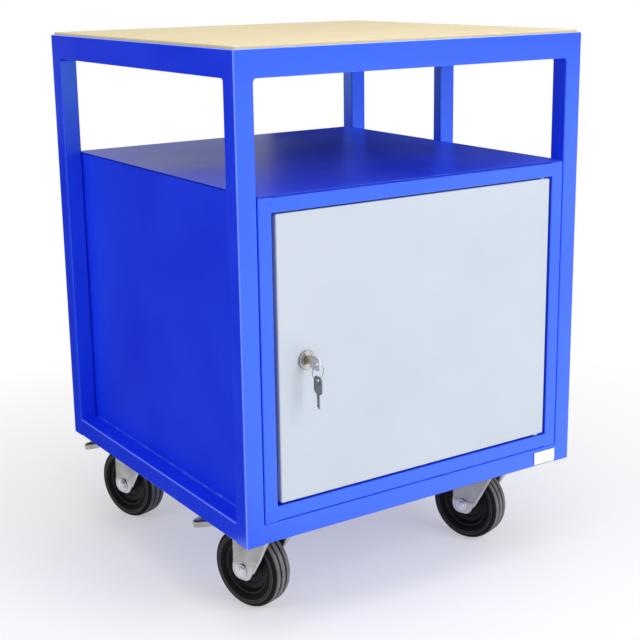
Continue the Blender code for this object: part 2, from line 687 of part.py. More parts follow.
def axle():
    """Axle bolt with its head on the left and its nut on the right, centred on the wheel."""
    seat = FORK_OUTER + SEAM
    bar = cylinder(AXLE_RADIUS, -seat - AXLE_HEAD / 2, seat + AXLE_HEAD / 2)
    ends = [cylinder(AXLE_HEAD_RADIUS, -seat - AXLE_HEAD, -seat, 6), cylinder(AXLE_HEAD_RADIUS, seat, seat + AXLE_HEAD, 6)]
    return to_mesh(along_x(combined("UNION", bar, *ends)), "axle")


def wheel_core():
    """Wheel centre: hub between the fork legs, thin web and rim."""
    bore = AXLE_RADIUS + AXLE_CLEAR
    hub = FORK_INNER - 2 * SEAM
    rim = RIM_WIDTH / 2
    web = WEB_SHEET / 2
    inner = RIM_RADIUS - RIM_WALL
    profile = [
        (bore, hub), (HUB_RADIUS, hub), (HUB_RADIUS, web), (inner, web), (inner, rim), (RIM_RADIUS, rim),
        (RIM_RADIUS, -rim), (inner, -rim), (inner, -web), (HUB_RADIUS, -web), (HUB_RADIUS, -hub), (bore, -hub),
    ]
    return to_mesh(along_x(lathe(profile, WHEEL_STEPS, ring=True)), "wheel_core")


def tyre():
    """Solid tyre: swelling side walls, round shoulders and grooves round the tread."""
    seat = RIM_RADIUS + SEAM
    base = RIM_WIDTH / 2
    half = TYRE_WIDTH / 2
    shoulder = arc((WHEEL_RADIUS - TYRE_SHOULDER, half - TYRE_SHOULDER), TYRE_SHOULDER, math.pi / 2, 0, ARC_STEPS)
    profile = [(seat, base)] + shoulder
    for side in (0.5, -0.5):
        centre = side * GROOVE_PITCH
        profile.append((WHEEL_RADIUS, centre + GROOVE_WIDTH / 2))
        profile.append((WHEEL_RADIUS - GROOVE_DEPTH, centre))
        profile.append((WHEEL_RADIUS, centre - GROOVE_WIDTH / 2))
    profile += [(radius, -height) for radius, height in reversed(shoulder)]
    profile.append((seat, -base))
    return to_mesh(along_x(lathe(profile, WHEEL_STEPS, ring=True)), "tyre")


def brake_pedal():
    """Pedal on its pivot: barrel with pin ends, arm over the tyre and a drooping tray with a turned-down rim."""
    tray_reach = PEDAL_TRAY * math.cos(PEDAL_TILT + PEDAL_DROOP)
    arm_length = (PEDAL_REACH - PEDAL_PIVOT - tray_reach) / math.cos(PEDAL_TILT)
    half = PEDAL_WIDTH / 2
    top = PEDAL_SHEET / 2
    tip = (0, PEDAL_TRAY - half)

    def tongue(inset):
        radius = half - inset
        return [(-radius, inset), (radius, inset)] + arc(tip, radius, 0, math.pi, 4 * ARC_STEPS)

    arm = box((-half, half), (0, arm_length + top), (-top, top))
    tray = prism(tongue(0), top - PEDAL_FLANGE, top)
    hollow = prism(tongue(PEDAL_SHEET), -PEDAL_FLANGE, -top)
    tray = turned(combined("DIFFERENCE", tray, hollow), -PEDAL_DROOP, "X")
    tray = moved(tray, (0, arm_length, 0))
    shape = turned(combined("UNION", arm, tray), -PEDAL_TILT, "X")
    barrel_half = FORK_INNER - PEDAL_END_PLAY
    barrel = along_x(cylinder(PEDAL_BARREL, -barrel_half, barrel_half, SMALL_STEPS))
    pin_half = FORK_OUTER - SEAM
    pin = along_x(cylinder(PEDAL_PIN, -pin_half, pin_half, SMALL_STEPS))
    return to_mesh(combined("UNION", shape, barrel, pin), "brake_pedal")


def castor_bolt():
    """Bolt that holds the castor plate from below and is screwed up through the corner plate."""
    head = PLATE_BOTTOM - SEAM
    end = FRAME_BOTTOM + CORNER_PLATE_SHEET + BOLT_END
    return lathe([
        (0, head - BOLT_HEAD), (BOLT_HEX, head - BOLT_HEAD), (BOLT_HEX, head), (BOLT_RADIUS, head),
        (BOLT_RADIUS, end), (0, end),
    ], 6)


def corner_plate(right, rear, swivel):
    """Plate welded into a corner between two bottom rails, with the four bolts of its castor."""
    near = POST + SEAM
    far = near + CORNER_PLATE
    cut = far - CORNER_PLATE_CHAMFER
    corner = (RIGHT if right > 0 else LEFT, REAR if rear > 0 else FRONT)
    outline = [(near, near), (far, near), (far, cut), (cut, far), (near, far)]
    outline = [(corner[0] - right * x, corner[1] - rear * y) for x, y in outline]
    plate = prism(outline, FRAME_BOTTOM, FRAME_BOTTOM + CORNER_PLATE_SHEET)
    bolts = [moved(castor_bolt(), (swivel[0] + x, swivel[1] + y, 0)) for x, y in bolt_places()]
    return combined("UNION", plate, *bolts)


def build_castors():
    """Four castors, each with its corner plate; the left ones have a brake pedal."""
    plate = to_mesh(castor_plate(), "castor_plate")
    forks = {True: fork(True), False: fork(False)}
    axle_mesh = axle()
    core = wheel_core()
    tyre_mesh = tyre()
    pedal = brake_pedal()
    for corner, (right, rear, braked) in CASTORS.items():
        x = right * (RIGHT - CASTOR_INSET)
        y = REAR - CASTOR_INSET if rear > 0 else FRONT + CASTOR_INSET
        place = (x, y, 0)
        add(f"corner_plate_{corner}", corner_plate(right, rear, place), "blue_paint")
        add(f"castor_{corner}_plate", plate, "zinc", location=place)
        swivel = pivot(f"castor_{corner}_swivel", place, turn=CASTOR_TURN)
        add(f"castor_{corner}_fork", forks[braked], "zinc", swivel)
        hub = pivot(f"castor_{corner}_wheel_axis", (0, TRAIL, WHEEL_RADIUS), swivel)
        add(f"castor_{corner}_axle", axle_mesh, "zinc", hub)
        add(f"castor_{corner}_wheel", core, "black_plastic", hub)
        add(f"castor_{corner}_tyre", tyre_mesh, "rubber", hub)
        if braked:
            hinge = pivot(f"castor_{corner}_pedal_axis", (0, PEDAL_PIVOT, PEDAL_PIVOT_HEIGHT), swivel)
            add(f"castor_{corner}_pedal", pedal, "zinc", hinge)


def main():
    """Build every piece."""
    clear_scene()
    build_frame()
    build_worktop()
    build_cabinet()
    hinge = build_door()
    build_lock(hinge)
    build_castors()


main()
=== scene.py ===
"""Looks of a mobile workbench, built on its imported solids.

Every piece is in metres in the same frame as the solids, has its place in its mesh and rides on one
of their bodies. Shapes are grids of points worked out as whole arrays.
"""

import json
import logging
import math
from collections.abc import Sequence
from dataclasses import dataclass, field
from enum import Enum

import bmesh
import bpy
import numpy as np
from mathutils import Matrix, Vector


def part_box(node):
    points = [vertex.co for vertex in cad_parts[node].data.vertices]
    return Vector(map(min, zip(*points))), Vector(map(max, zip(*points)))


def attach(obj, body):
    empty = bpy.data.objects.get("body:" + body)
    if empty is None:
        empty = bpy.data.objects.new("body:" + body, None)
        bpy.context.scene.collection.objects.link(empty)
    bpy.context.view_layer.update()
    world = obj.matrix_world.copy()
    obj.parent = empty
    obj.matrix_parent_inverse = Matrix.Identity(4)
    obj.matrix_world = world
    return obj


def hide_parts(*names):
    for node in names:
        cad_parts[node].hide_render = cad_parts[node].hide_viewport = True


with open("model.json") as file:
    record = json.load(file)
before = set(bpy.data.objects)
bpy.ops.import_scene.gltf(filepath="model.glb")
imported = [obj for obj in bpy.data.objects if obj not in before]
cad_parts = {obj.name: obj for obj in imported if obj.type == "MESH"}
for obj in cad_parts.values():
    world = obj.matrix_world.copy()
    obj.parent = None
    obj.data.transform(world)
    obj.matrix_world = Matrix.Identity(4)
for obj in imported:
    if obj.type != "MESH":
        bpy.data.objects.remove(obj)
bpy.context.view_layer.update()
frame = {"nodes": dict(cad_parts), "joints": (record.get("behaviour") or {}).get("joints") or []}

LOG = logging.getLogger("workbench")
Array = np.ndarray
Pair = tuple[float, float]
Triple = tuple[float, float, float]
Colour = Triple
Socket = bpy.types.NodeSocket
JOINTS = {joint["name"]: joint for joint in frame["joints"]}
LOCK_PLACE = tuple(JOINTS["lock_turn"]["pos_m"])

# Corners of the bench, with the signs of their places in X and Y
CORNERS = {
    "front_left": (-1, -1), "front_right": (1, -1), "rear_left": (-1, 1), "rear_right": (1, 1),
}
# Signs of the corners of a loop, counter-clockwise
TURNS = ((1, 1), (-1, 1), (-1, -1), (1, -1))

# Gap that welded solids keep, and the distance of the points that hold a flat flat beside a bend
SEAM = 0.0003
HOLD = 0.0006
# Least radius of a corner, and the distance below which two points are one
LEAST = 0.0002
MERGE = 1e-6
# Values between which nearly all of a noise lies, and the radians per metre of a wave at scale 1
NOISE_ENDS = (0.3, 0.7)
WAVE_RATE = 20.0
# White for a shader's socket, with its alpha
WHITE = (1.0, 1.0, 1.0, 1.0)


class Axis(Enum):
    """World axis that a piece lies along; the value says which local axis each world axis takes."""

    X = (2, 0, 1)
    Y = (1, 2, 0)
    Z = (0, 1, 2)

    def local(self, vector: Array) -> Array:
        """A world vector in local order, the last entry along this axis."""
        return np.asarray(vector)[np.argsort(self.value)]

    def turn(self, angle: float) -> Array:
        """Matrix of a turn about this axis by an angle in radians."""
        return np.array(Matrix.Rotation(angle, 3, self.name))


@dataclass(frozen=True)
class Surface:
    """A mesh as arrays.

    Attributes:
        points: Places of the points, one row each.
        quads: Four point numbers per face.
        caps: Faces with more corners, each as point numbers.
        wear: Share of each point's lighter colour, from 0 to 1: mostly painted highlight, on the
            tyres also grime.
    """

    points: Array
    quads: Array
    caps: tuple[Array, ...] = ()
    wear: Array | None = None

    def with_points(self, points: Array) -> "Surface":
        """The same faces on other points."""
        return Surface(points, self.quads, self.caps, self.wear)

    def moved(self, offset: Sequence[float]) -> "Surface":
        """The surface shifted by an offset."""
        return self.with_points(self.points + np.asarray(offset))

    def turned(self, angle: float, axis: Axis) -> "Surface":
        """The surface turned about an axis through the origin."""
        return self.with_points(self.points @ axis.turn(angle).T)

    def along(self, axis: Axis) -> "Surface":
        """The surface with its local Z laid along an axis."""
        return self.with_points(self.points[:, axis.value])

    def with_wear_and_highlight(self, wear: Array) -> "Surface":
        """The surface with a share of its lighter colour per point, mostly painted highlight."""
        return Surface(self.points, self.quads, self.caps, np.asarray(wear, float).ravel())

    def wear_and_highlight_values(self) -> Array:
        """Share of the lighter colour at every point, zero where none is set."""
        return np.zeros(len(self.points)) if self.wear is None else self.wear

    def flipped(self) -> "Surface":
        """The surface with its faces turned round."""
        caps = tuple(cap[::-1] for cap in self.caps)
        return Surface(self.points, self.quads[:, ::-1], caps, self.wear)

    def __add__(self, other: "Surface") -> "Surface":
        """Joins two surfaces.

        Args:
            other: Surface that is added.

        Returns:
            One surface with the points and faces of both.
        """
        shift = len(self.points)
        return Surface(
            np.concatenate([self.points, other.points]),
            np.concatenate([self.quads, other.quads + shift]),
            self.caps + tuple(cap + shift for cap in other.caps),
            np.concatenate([self.wear_and_highlight_values(), other.wear_and_highlight_values()]),
        )


def span(node: str) -> tuple[Array, Array]:
    """Lowest and highest corner of a solid, as arrays."""
    low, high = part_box(node)
    return np.array(low), np.array(high)


def smooth(value: Array, start: float, end: float) -> Array:
    """Soft step: 0 before start, 1 after end, 3t^2 - 2t^3 between."""
    share = np.clip((np.asarray(value, float) - start) / (end - start), 0.0, 1.0)
    return share * share * (3.0 - 2.0 * share)


def bend(centre: Sequence[float], radius: float, start: float, end: float, steps: int = 4) -> Array:
    """Points of an arc: centre plus radius times (cos, sin), from start to end in degrees."""
    angle = np.radians(np.linspace(start, end, steps + 1))
    return np.asarray(centre) + radius * np.stack([np.cos(angle), np.sin(angle)], -1)


def path(*parts: Sequence) -> Array:
    """Points and arcs one after the other, as one array of pairs."""
    return np.concatenate([np.atleast_2d(np.asarray(part, float)) for part in parts])


def lattice(
    points: Array, wrap_u: bool = False, wrap_v: bool = False, cap: bool = False,
) -> Surface:
    """Joins the neighbours in a grid of points by quads.

    Args:
        points: Grid of places, rows by columns by 3.
        wrap_u: Whether the last row joins the first.
        wrap_v: Whether the last column joins the first.
        cap: Whether the first and the last row are each closed by one face.

    Returns:
        The surface over the grid.
    """
    rows, columns = points.shape[:2]
    number = np.arange(rows * columns).reshape(rows, columns)
    ends = (number[0, ::-1], number[-1]) if cap else ()
    if wrap_u:
        number = np.concatenate([number, number[:1]])
    if wrap_v:
        number = np.concatenate([number, number[:, :1]], 1)
    quads = np.stack([number[:-1, :-1], number[:-1, 1:], number[1:, 1:], number[1:, :-1]], -1)
    return Surface(points.reshape(-1, 3), quads.reshape(-1, 4), ends)


def corner_loops(half: Array, radii: Array, steps: int = 6) -> Array:
    """Rounded rectangles about the origin, one per row, counter-clockwise.

    Each corner is a quarter circle about a point that lies one radius inside both sides. One more
    point stands beside each end of the arc, so that the flat beside it is shaded flat.

    Args:
        half: Half sides, rows by 2.
        radii: Corner radii, rows by 4, from the corner at plus plus.
        steps: Facets per corner.

    Returns:
        Rows by points by 2.
    """
    angle = np.arange(4)[:, None] * np.pi / 2 + np.linspace(0.0, np.pi / 2, steps + 1)
    outward = np.stack([np.cos(angle), np.sin(angle)], -1)
    ahead = np.stack([-np.sin(angle), np.cos(angle)], -1)
    centre = np.array(TURNS) * (half[:, None, :] - radii[:, :, None])
    arcs = centre[:, :, None, :] + radii[:, :, None, None] * outward
    first = arcs[:, :, :1] - HOLD * ahead[:, :1]
    last = arcs[:, :, -1:] + HOLD * ahead[:, -1:]
    return np.concatenate([first, arcs, last], 2).reshape(len(half), -1, 2)


def ridges(steps: int = 6) -> Array:
    """Painted highlight along a loop of corner_loops: a squared half sine over each arc, none on
    the flats.
    """
    arc = np.sin(np.linspace(0.0, np.pi, steps + 1)) ** 2
    return np.tile(np.concatenate([[0.0], arc, [0.0]]), 4)


def framed(size: Sequence[float], corner: float, profile: Array, steps: int = 6) -> Array:
    """Carries a profile round a rounded rectangle about the origin.

    Each pair (inset, level) of the profile gives one loop: the half sides and the corner radius are
    less by the inset, and the loop lies at that level.

    Args:
        size: Sides of the rectangle.
        corner: Its corner radius.
        profile: Pairs of inset and level.
        steps: Facets per corner.

    Returns:
        Grid of places, one row per pair.
    """
    inset, level = np.asarray(profile, float).T
    radii = np.repeat(np.maximum(corner - inset, LEAST)[:, None], 4, 1)
    loops = corner_loops(np.asarray(size) / 2 - inset[:, None], radii, steps)
    height = np.broadcast_to(level[:, None, None], loops.shape[:2] + (1,))
    return np.concatenate([loops, height], -1)


def slab(low: Array, high: Array, axis: Axis, edge: float, corner: float = 0.0) -> Surface:
    """Plate between two corners, its rims rounded by a quarter circle all round.

    Args:
        low: Lowest corner.
        high: Highest corner.
        axis: Axis across its thickness.
        edge: Radius of the rims.
        corner: Radius of its four corners.

    Returns:
        The closed plate.
    """
    size = axis.local(high - low)
    thick = size[2] / 2
    profile = path(
        (edge + HOLD, -thick), bend((edge, edge - thick), edge, 270, 180), (0, edge + HOLD - thick),
        (0, thick - edge - HOLD), bend((edge, thick - edge), edge, 180, 90), (edge + HOLD, thick),
    )
    grid = framed(size[:2], max(corner, edge), profile)
    return lattice(grid, wrap_v=True, cap=True).along(axis).moved((low + high) / 2)


def revolve(profile: Array, steps: int, ring: bool = False) -> Surface:
    """Turns a profile of (radius, height) about local Z: x = r cos a, y = r sin a, z = h.

    Args:
        profile: Pairs of radius and height.
        steps: Facets round the axis.
        ring: Whether the profile closes on itself.

    Returns:
        The turned surface.
    """
    radius, height = np.asarray(profile, float).T
    angle = np.arange(steps)[:, None] * 2 * np.pi / steps
    grid = np.stack([radius * np.cos(angle), radius * np.sin(angle), height + 0 * angle], -1)
    return lattice(grid, wrap_u=True, wrap_v=ring)


def rod(radius: float, low: float, high: float) -> Surface:
    """Closed round bar along local Z between two heights."""
    return revolve(path((0.0, low), (radius, low), (radius, high), (0.0, high)), 32)


def hexagon(apothem: float, height: float, steps: int = 48) -> Surface:
    """Hex head on Z = 0 with a turned chamfer.

    The side's radius is the apothem over the cosine of the angle from the nearest flat. Outside a
    circle just smaller than the flats, the top falls at 30 degrees.

    Args:
        apothem: Distance from the axis to a flat.
        height: Height of the head.
        steps: Points round the axis, a multiple of 12.

    Returns:
        The closed head.
    """
    angle = np.arange(steps) * 2 * np.pi / steps
    side = apothem / np.cos((angle + np.pi / 6) % (np.pi / 3) - np.pi / 6)
    chamfer = 0.94
    foot, crown, top = np.zeros(steps), np.full(steps, chamfer * apothem), np.full(steps, height)
    radius = np.stack([foot, side, side, crown, 0.5 * crown, foot])
    fall = height - (side - crown) * math.tan(math.pi / 6)
    level = np.stack([foot, foot, fall, top, top, top])
    grid = np.stack([radius * np.cos(angle), radius * np.sin(angle), level], -1)
    return lattice(grid, wrap_v=True)


def thickened(grid: Array, wall: float) -> Surface:
    """Gives a sheet its wall.

    The normal at each point is the cross product of the grid's two slopes. Both faces lie half a
    wall from the grid along it, and they are joined round the edge.

    Args:
        grid: Middle of the sheet, rows by columns by 3.
        wall: Its thickness.

    Returns:
        The closed sheet.
    """
    normal = np.cross(np.gradient(grid, axis=0), np.gradient(grid, axis=1))
    normal /= np.linalg.norm(normal, axis=-1, keepdims=True)
    over = grid + normal * wall / 2
    under = grid - normal * wall / 2
    return lattice(np.concatenate([over, under[:, ::-1]], 1), wrap_v=True, cap=True)


def swept_ring(
    centre: Array, outward: Array, across: Array, radius: float, steps: int = 8,
) -> Surface:
    """Round wire along a path: centre + radius (cos a outward + sin a across), closed at both ends.

    Args:
        centre: Points of the path.
        outward: Unit vector square to the path at each point.
        across: Unit vector square to both at each point.
        radius: Radius of the wire.
        steps: Facets round the wire.

    Returns:
        The closed wire.
    """
    angle = np.arange(steps) * 2 * np.pi / steps
    section = np.cos(angle)[:, None] * outward[:, None] + np.sin(angle)[:, None] * across[:, None]
    return lattice(centre[:, None] + radius * section, wrap_v=True, cap=True)


class Nodes:
    """Adds nodes to one tree."""

    def __init__(self, tree: bpy.types.NodeTree) -> None:
        """Starts on a tree."""
        self.tree = tree

    def node(self, kind: str, inputs: dict | None = None, **settings: object) -> bpy.types.Node:
        """Adds a node.

        Args:
            kind: Blender's name of the node type.
            inputs: Values or sockets for its inputs, by name or number.
            **settings: Its own properties.

        Returns:
            The new node.
        """
        made = self.tree.nodes.new(kind)
        for name, value in settings.items():
            setattr(made, name, value)
        for name, value in (inputs or {}).items():
            self.feed(made.inputs[name], value)
        return made

    def feed(self, socket: Socket, value: object) -> None:
        """Links an input to a socket, or sets it to a value.

        Args:
            socket: The input.
            value: Socket or plain value that it gets.
        """
        if isinstance(value, Socket):
            self.tree.links.new(value, socket)
        else:
            socket.default_value = value

    def math(self, operation: str, first: object, second: object) -> Socket:
        """Result of one sum on two values."""
        return self.node("ShaderNodeMath", {0: first, 1: second}, operation=operation).outputs[0]

    def blend(self, share: Socket, first: Socket, second: Socket) -> Socket:
        """Shader between two, by a share."""
        return self.node("ShaderNodeMixShader", {0: share, 1: first, 2: second}).outputs[0]

    def seen(self) -> Socket:
        """Tells what the camera, a reflection or a view through glass meets from the rest.

        Returns:
            1 for the former, 0 for the latter.
        """
        rays = self.node("ShaderNodeLightPath").outputs
        share = self.math("MAXIMUM", rays["Is Camera Ray"], rays["Is Glossy Ray"])
        return self.math("MAXIMUM", share, rays["Is Transmission Ray"])


class Shader(Nodes):
    """Builds the nodes of one material."""

    def __init__(self, name: str) -> None:
        """Starts a material with a plain shader and Object coordinates.

        Args:
            name: Name of the material.
        """
        self.material = bpy.data.materials.new(name)
        self.material.use_nodes = True
        super().__init__(self.material.node_tree)
        self.surface = self.tree.nodes["Principled BSDF"]
        self.place = self.node("ShaderNodeTexCoord").outputs["Object"]

    def noise(self, size: float, detail: float = 2.0, stretch: Triple = (1, 1, 1)) -> Socket:
        """Cloudy spots.

        Args:
            size: Size of the spots in metres.
            detail: Number of finer layers in them.
            stretch: How much longer they are along each axis.

        Returns:
            A share from 0 to 1.
        """
        scale = [1 / times for times in stretch]
        mapped = self.node("ShaderNodeMapping", {"Vector": self.place, "Scale": scale})
        kind = {"Vector": mapped.outputs[0], "Scale": 1 / size, "Detail": detail}
        return self.node("ShaderNodeTexNoise", kind).outputs[0]

    def ramp(self, share: Socket, dark: Colour, light: Colour, ends: Pair = NOISE_ENDS) -> Socket:
        """Colour that runs from a dark one to a light one.

        Args:
            share: Value that it follows.
            dark: Colour at the first end.
            light: Colour at the second end.
            ends: Values at which the two colours stand.

        Returns:
            The colour.
        """
        made = self.node("ShaderNodeValToRGB", {0: share})
        for point, position, colour in zip(made.color_ramp.elements, ends, (dark, light)):
            point.position = position
            point.color = (*colour, 1.0)
        return made.outputs[0]

    def between(self, share: Socket, low: float, high: float) -> Socket:
        """Value that follows a noise.

        Args:
            share: The noise.
            low: Value at the first end of its range.
            high: Value at the second end.

        Returns:
            The value.
        """
        start, end = NOISE_ENDS
        kind = {"Value": share, "From Min": start, "From Max": end, "To Min": low, "To Max": high}
        return self.node("ShaderNodeMapRange", kind).outputs[0]

    def mixed(self, share: object, first: object, second: object) -> Socket:
        """Colour between two, by a share."""
        made = self.node("ShaderNodeMix", {0: share, 6: first, 7: second}, data_type="RGBA")
        return made.outputs[2]

    def wear(self) -> Socket:
        """The share of the lighter colour that the mesh carries, mostly painted highlight."""
        return self.node("ShaderNodeAttribute", attribute_name="wear").outputs["Fac"]

    def bump(self, height: Socket, relief: float) -> None:
        """Raises the surface's detail by a height in metres."""
        made = self.node("ShaderNodeBump", {"Strength": 1.0, "Distance": relief, "Height": height})
        self.feed(self.surface.inputs["Normal"], made.outputs[0])

    def show(self, look: Socket) -> None:
        """Sends another shader than the plain one to the material's output."""
        self.feed(self.tree.nodes["Material Output"].inputs["Surface"], look)


@dataclass(frozen=True)
class Finish:
    """Finish of a piece: patches of two colours, a range of roughness and a fine relief.

    Attributes:
        name: Name of the material.
        slot: Slot of the record that it belongs to; not used.
        dark: Colour of the darker patches.
        light: Colour of the lighter patches.
        rough: Lowest and highest roughness.
        patch: Size of the patches.
        grain: Size of the relief's grains.
        relief: Height of the grains.
        metallic: How much of a metal it is.
        specular: Strength of its plain reflection.
        gloss: Tint of that reflection.
        index: Refractive index of its skin.
    """

    name: str
    slot: str
    dark: Colour
    light: Colour
    rough: Pair
    patch: float = 0.08
    grain: float = 0.002
    relief: float = 0.0001
    metallic: float = 0.0
    specular: float = 0.5
    gloss: Colour = (1.0, 1.0, 1.0)
    index: float = 1.5

    def pattern(self, shader: Shader) -> Socket:
        """Share of the lighter colour over the surface."""
        return shader.noise(self.patch, 4.0)

    def height(self, shader: Shader) -> Socket:
        """Relief of the surface, from 0 to 1."""
        return shader.noise(self.grain, 2.0)

    def colour(self, shader: Shader, share: Socket) -> Socket:
        """Colour of the surface for a share of the lighter patches."""
        return shader.ramp(share, self.dark, self.light)

    def material(self) -> bpy.types.Material:
        """Makes the material of the finish, unless it is there already.

        Returns:
            The material.
        """
        made = bpy.data.materials.get(self.name)
        if made:
            return made
        shader = Shader(self.name)
        share = self.pattern(shader)
        inputs = shader.surface.inputs
        shader.feed(inputs["Base Color"], self.colour(shader, share))
        shader.feed(inputs["Roughness"], shader.between(share, *self.rough))
        inputs["Metallic"].default_value = self.metallic
        inputs["Specular IOR Level"].default_value = self.specular
        inputs["Specular Tint"].default_value = (*self.gloss, 1.0)
        inputs["IOR"].default_value = self.index
        shader.bump(self.height(shader), self.relief)
        return shader.material


@dataclass(frozen=True)
class PowderCoat(Finish):
    """Stoved paint: its skin is fine dimples on slower waves, like an orange peel.

    Attributes:
        wave: Size of the slower waves.
        thin: Colour of the painted highlight along edges, where the mesh is marked.
    """

    wave: float = 0.009
    thin: Colour = (1.0, 1.0, 1.0)

    def colour(self, shader: Shader, share: Socket) -> Socket:
        """Patches of two tones, turning to the thin colour where the mesh is marked: a painted
        highlight along edges.
        """
        return shader.mixed(shader.wear(), super().colour(shader, share), (*self.thin, 1.0))

    def height(self, shader: Shader) -> Socket:
        """Fine dimples with slower waves under them."""
        return shader.math("ADD", super().height(shader), shader.noise(self.wave, 1.0))


@dataclass(frozen=True)
class Planed(Finish):
    """Planed wood with its grain along X and fine pores in it.

    Attributes:
        banded: Share of the slow bands in the pattern; the grain has the rest.
    """

    banded: float = 0.35

    def pattern(self, shader: Shader) -> Socket:
        """Long grain, and slower bands across the board.

        Args:
            shader: Material that gets the nodes.

        Returns:
            Share of the lighter colour.
        """
        grain = shader.noise(self.grain, 5.0, (60, 1, 1))
        bands = shader.noise(self.patch, 2.0, (12, 1, 1))
        grain = shader.math("MULTIPLY", grain, 1 - self.banded)
        return shader.math("ADD", grain, shader.math("MULTIPLY", bands, self.banded))

    def height(self, shader: Shader) -> Socket:
        """Pores along the grain."""
        return shader.noise(self.grain, 3.0, (25, 1, 1))


@dataclass(frozen=True)
class Plated(Finish):
    """Plated steel: crystals of two tones, a tinted film in patches, lighter where the mesh is
    marked, mostly a painted highlight.

    Attributes:
        film: Colour of the film.
        cover: Least and greatest share of the film.
        crystal: Size of a crystal, in grains.
        tones: Distances from a crystal's middle, as shares, at which the two colours stand.
    """

    film: Colour = (0.25, 0.235, 0.195)
    cover: Pair = (0.15, 0.7)
    crystal: float = 4.0
    tones: Pair = (0.1, 0.8)

    def colour(self, shader: Shader, share: Socket) -> Socket:
        """Crystal tones with the film over them, turning to the light tone where the mesh is
        marked: a painted highlight on the fork's lip and the axle, and a lighter foot on the fork.

        Args:
            shader: Material that gets the nodes.
            share: Share of the film's patches.

        Returns:
            The colour.
        """
        cells = {"Vector": shader.place, "Scale": 1 / (self.crystal * self.grain)}
        tone = shader.node("ShaderNodeTexVoronoi", cells).outputs["Distance"]
        metal = shader.ramp(tone, self.dark, self.light, self.tones)
        tinted = shader.mixed(shader.between(share, *self.cover), metal, (*self.film, 1.0))
        return shader.mixed(shader.wear(), tinted, (*self.light, 1.0))


@dataclass(frozen=True)
class Turned(Finish):
    """Turned metal: fine rings about the lock's axis.

    Attributes:
        centre: A place on the axis.
        waver: How far the rings stray from circles, in radians of their wave.
    """

    centre: Triple = (0.0, 0.0, 0.0)
    waver: float = 0.4

    def height(self, shader: Shader) -> Socket:
        """Rings about the axis along Y: a sine of the distance from it over the grain.

        Args:
            shader: Material that gets the nodes.

        Returns:
            Relief from 0 to 1.
        """
        offset = [-part for part in self.centre]
        mapped = shader.node("ShaderNodeMapping", {"Vector": shader.place, "Location": offset})
        scale = 1 / (WAVE_RATE * self.grain)
        kind = {"Vector": mapped.outputs[0], "Scale": scale, "Distortion": self.waver}
        rings = shader.node("ShaderNodeTexWave", kind, wave_type="RINGS", rings_direction="Y")
        return rings.outputs[0]


@dataclass(frozen=True)
class Rubber(Finish):
    """Moulded rubber, greyer where it rolls: grime and a painted sheen on the tread.

    Attributes:
        dust_and_sheen: Colour of the grime and the painted sheen.
        cover: Least and greatest share of that colour where the mesh is marked.
    """

    dust_and_sheen: Colour = (0.32, 0.315, 0.305)
    cover: Pair = (0.6, 1.0)

    def colour(self, shader: Shader, share: Socket) -> Socket:
        """Black with patches, and grime with a painted sheen where the mesh is marked.

        Args:
            shader: Material that gets the nodes.
            share: Share of the lighter patches.

        Returns:
            The colour.
        """
        black = super().colour(shader, share)
        spread = shader.math("MULTIPLY", shader.wear(), shader.between(share, *self.cover))
        return shader.mixed(spread, black, (*self.dust_and_sheen, 1.0))


class Dress(Enum):
    """The finishes of the bench."""

    # The blue's thin colour is the painted highlight along edges.
    BLUE = PowderCoat(
        "gloss_blue_coat", "blue_paint", (0.004, 0.025, 0.80), (0.006, 0.032, 0.87), (0.285, 0.36),
        patch=0.12, grain=0.0013, relief=0.00004, specular=1.0, gloss=(0.42, 1.0, 1.0), index=1.6,
        thin=(0.17, 0.24, 1.0),
    )
    GREY = PowderCoat(
        "light_grey_coat", "grey_paint", (0.505, 0.56, 0.635), (0.535, 0.59, 0.665), (0.38, 0.48),
        patch=0.15, grain=0.0015, relief=0.00004, specular=0.4,
    )
    WOOD = Planed(
        "pale_planed_wood", "wood", (0.60, 0.49, 0.29), (0.72, 0.63, 0.41), (0.5, 0.65),
        patch=0.03, grain=0.0016, relief=0.00008, specular=0.25,
    )
    ZINC = Plated(
        "zinc_plate", "zinc", (0.45, 0.45, 0.45), (0.60, 0.60, 0.62), (0.285, 0.42),
        patch=0.03, grain=0.0008, relief=0.00003, metallic=1.0,
    )
    BOLT = Plated(
        "dull_bolt_zinc", "zinc", (0.46, 0.46, 0.47), (0.78, 0.78, 0.80), (0.285, 0.40),
        patch=0.004, grain=0.0006, relief=0.00002, metallic=0.7, film=(0.58, 0.58, 0.58),
    )
    STEEL = Plated(
        "key_steel", "zinc", (0.20, 0.20, 0.205), (0.34, 0.34, 0.35), (0.285, 0.38),
        patch=0.006, grain=0.0006, relief=0.00002, metallic=1.0, film=(0.20, 0.20, 0.20),
    )
    NICKEL = Turned(
        "turned_nickel", "chrome", (0.30, 0.30, 0.29), (0.44, 0.44, 0.42), (0.16, 0.26),
        patch=0.01, grain=0.0005, relief=0.00002, metallic=1.0, centre=LOCK_PLACE,
    )
    BRASS = Turned(
        "dull_brass", "brass", (0.22, 0.20, 0.12), (0.34, 0.32, 0.20), (0.285, 0.42),
        patch=0.004, grain=0.0005, relief=0.00002, metallic=1.0, centre=LOCK_PLACE,
    )
    RUBBER = Rubber(
        "tyre_rubber", "rubber", (0.004, 0.004, 0.0045), (0.008, 0.008, 0.009), (0.5, 0.68),
        patch=0.02, grain=0.0009, relief=0.00006, specular=0.1,
    )
    PLASTIC = Finish(
        "black_wheel_plastic", "black_plastic", (0.006, 0.006, 0.0065), (0.011, 0.011, 0.012),
        (0.40, 0.52), patch=0.02, grain=0.0007, relief=0.00004, specular=0.2,
    )
    WHITE = Finish(
        "white_plastic_sheet", "white_plastic", (0.80, 0.80, 0.79), (0.86, 0.86, 0.85), (0.3, 0.42),
        patch=0.01, grain=0.0008, relief=0.00001,
    )


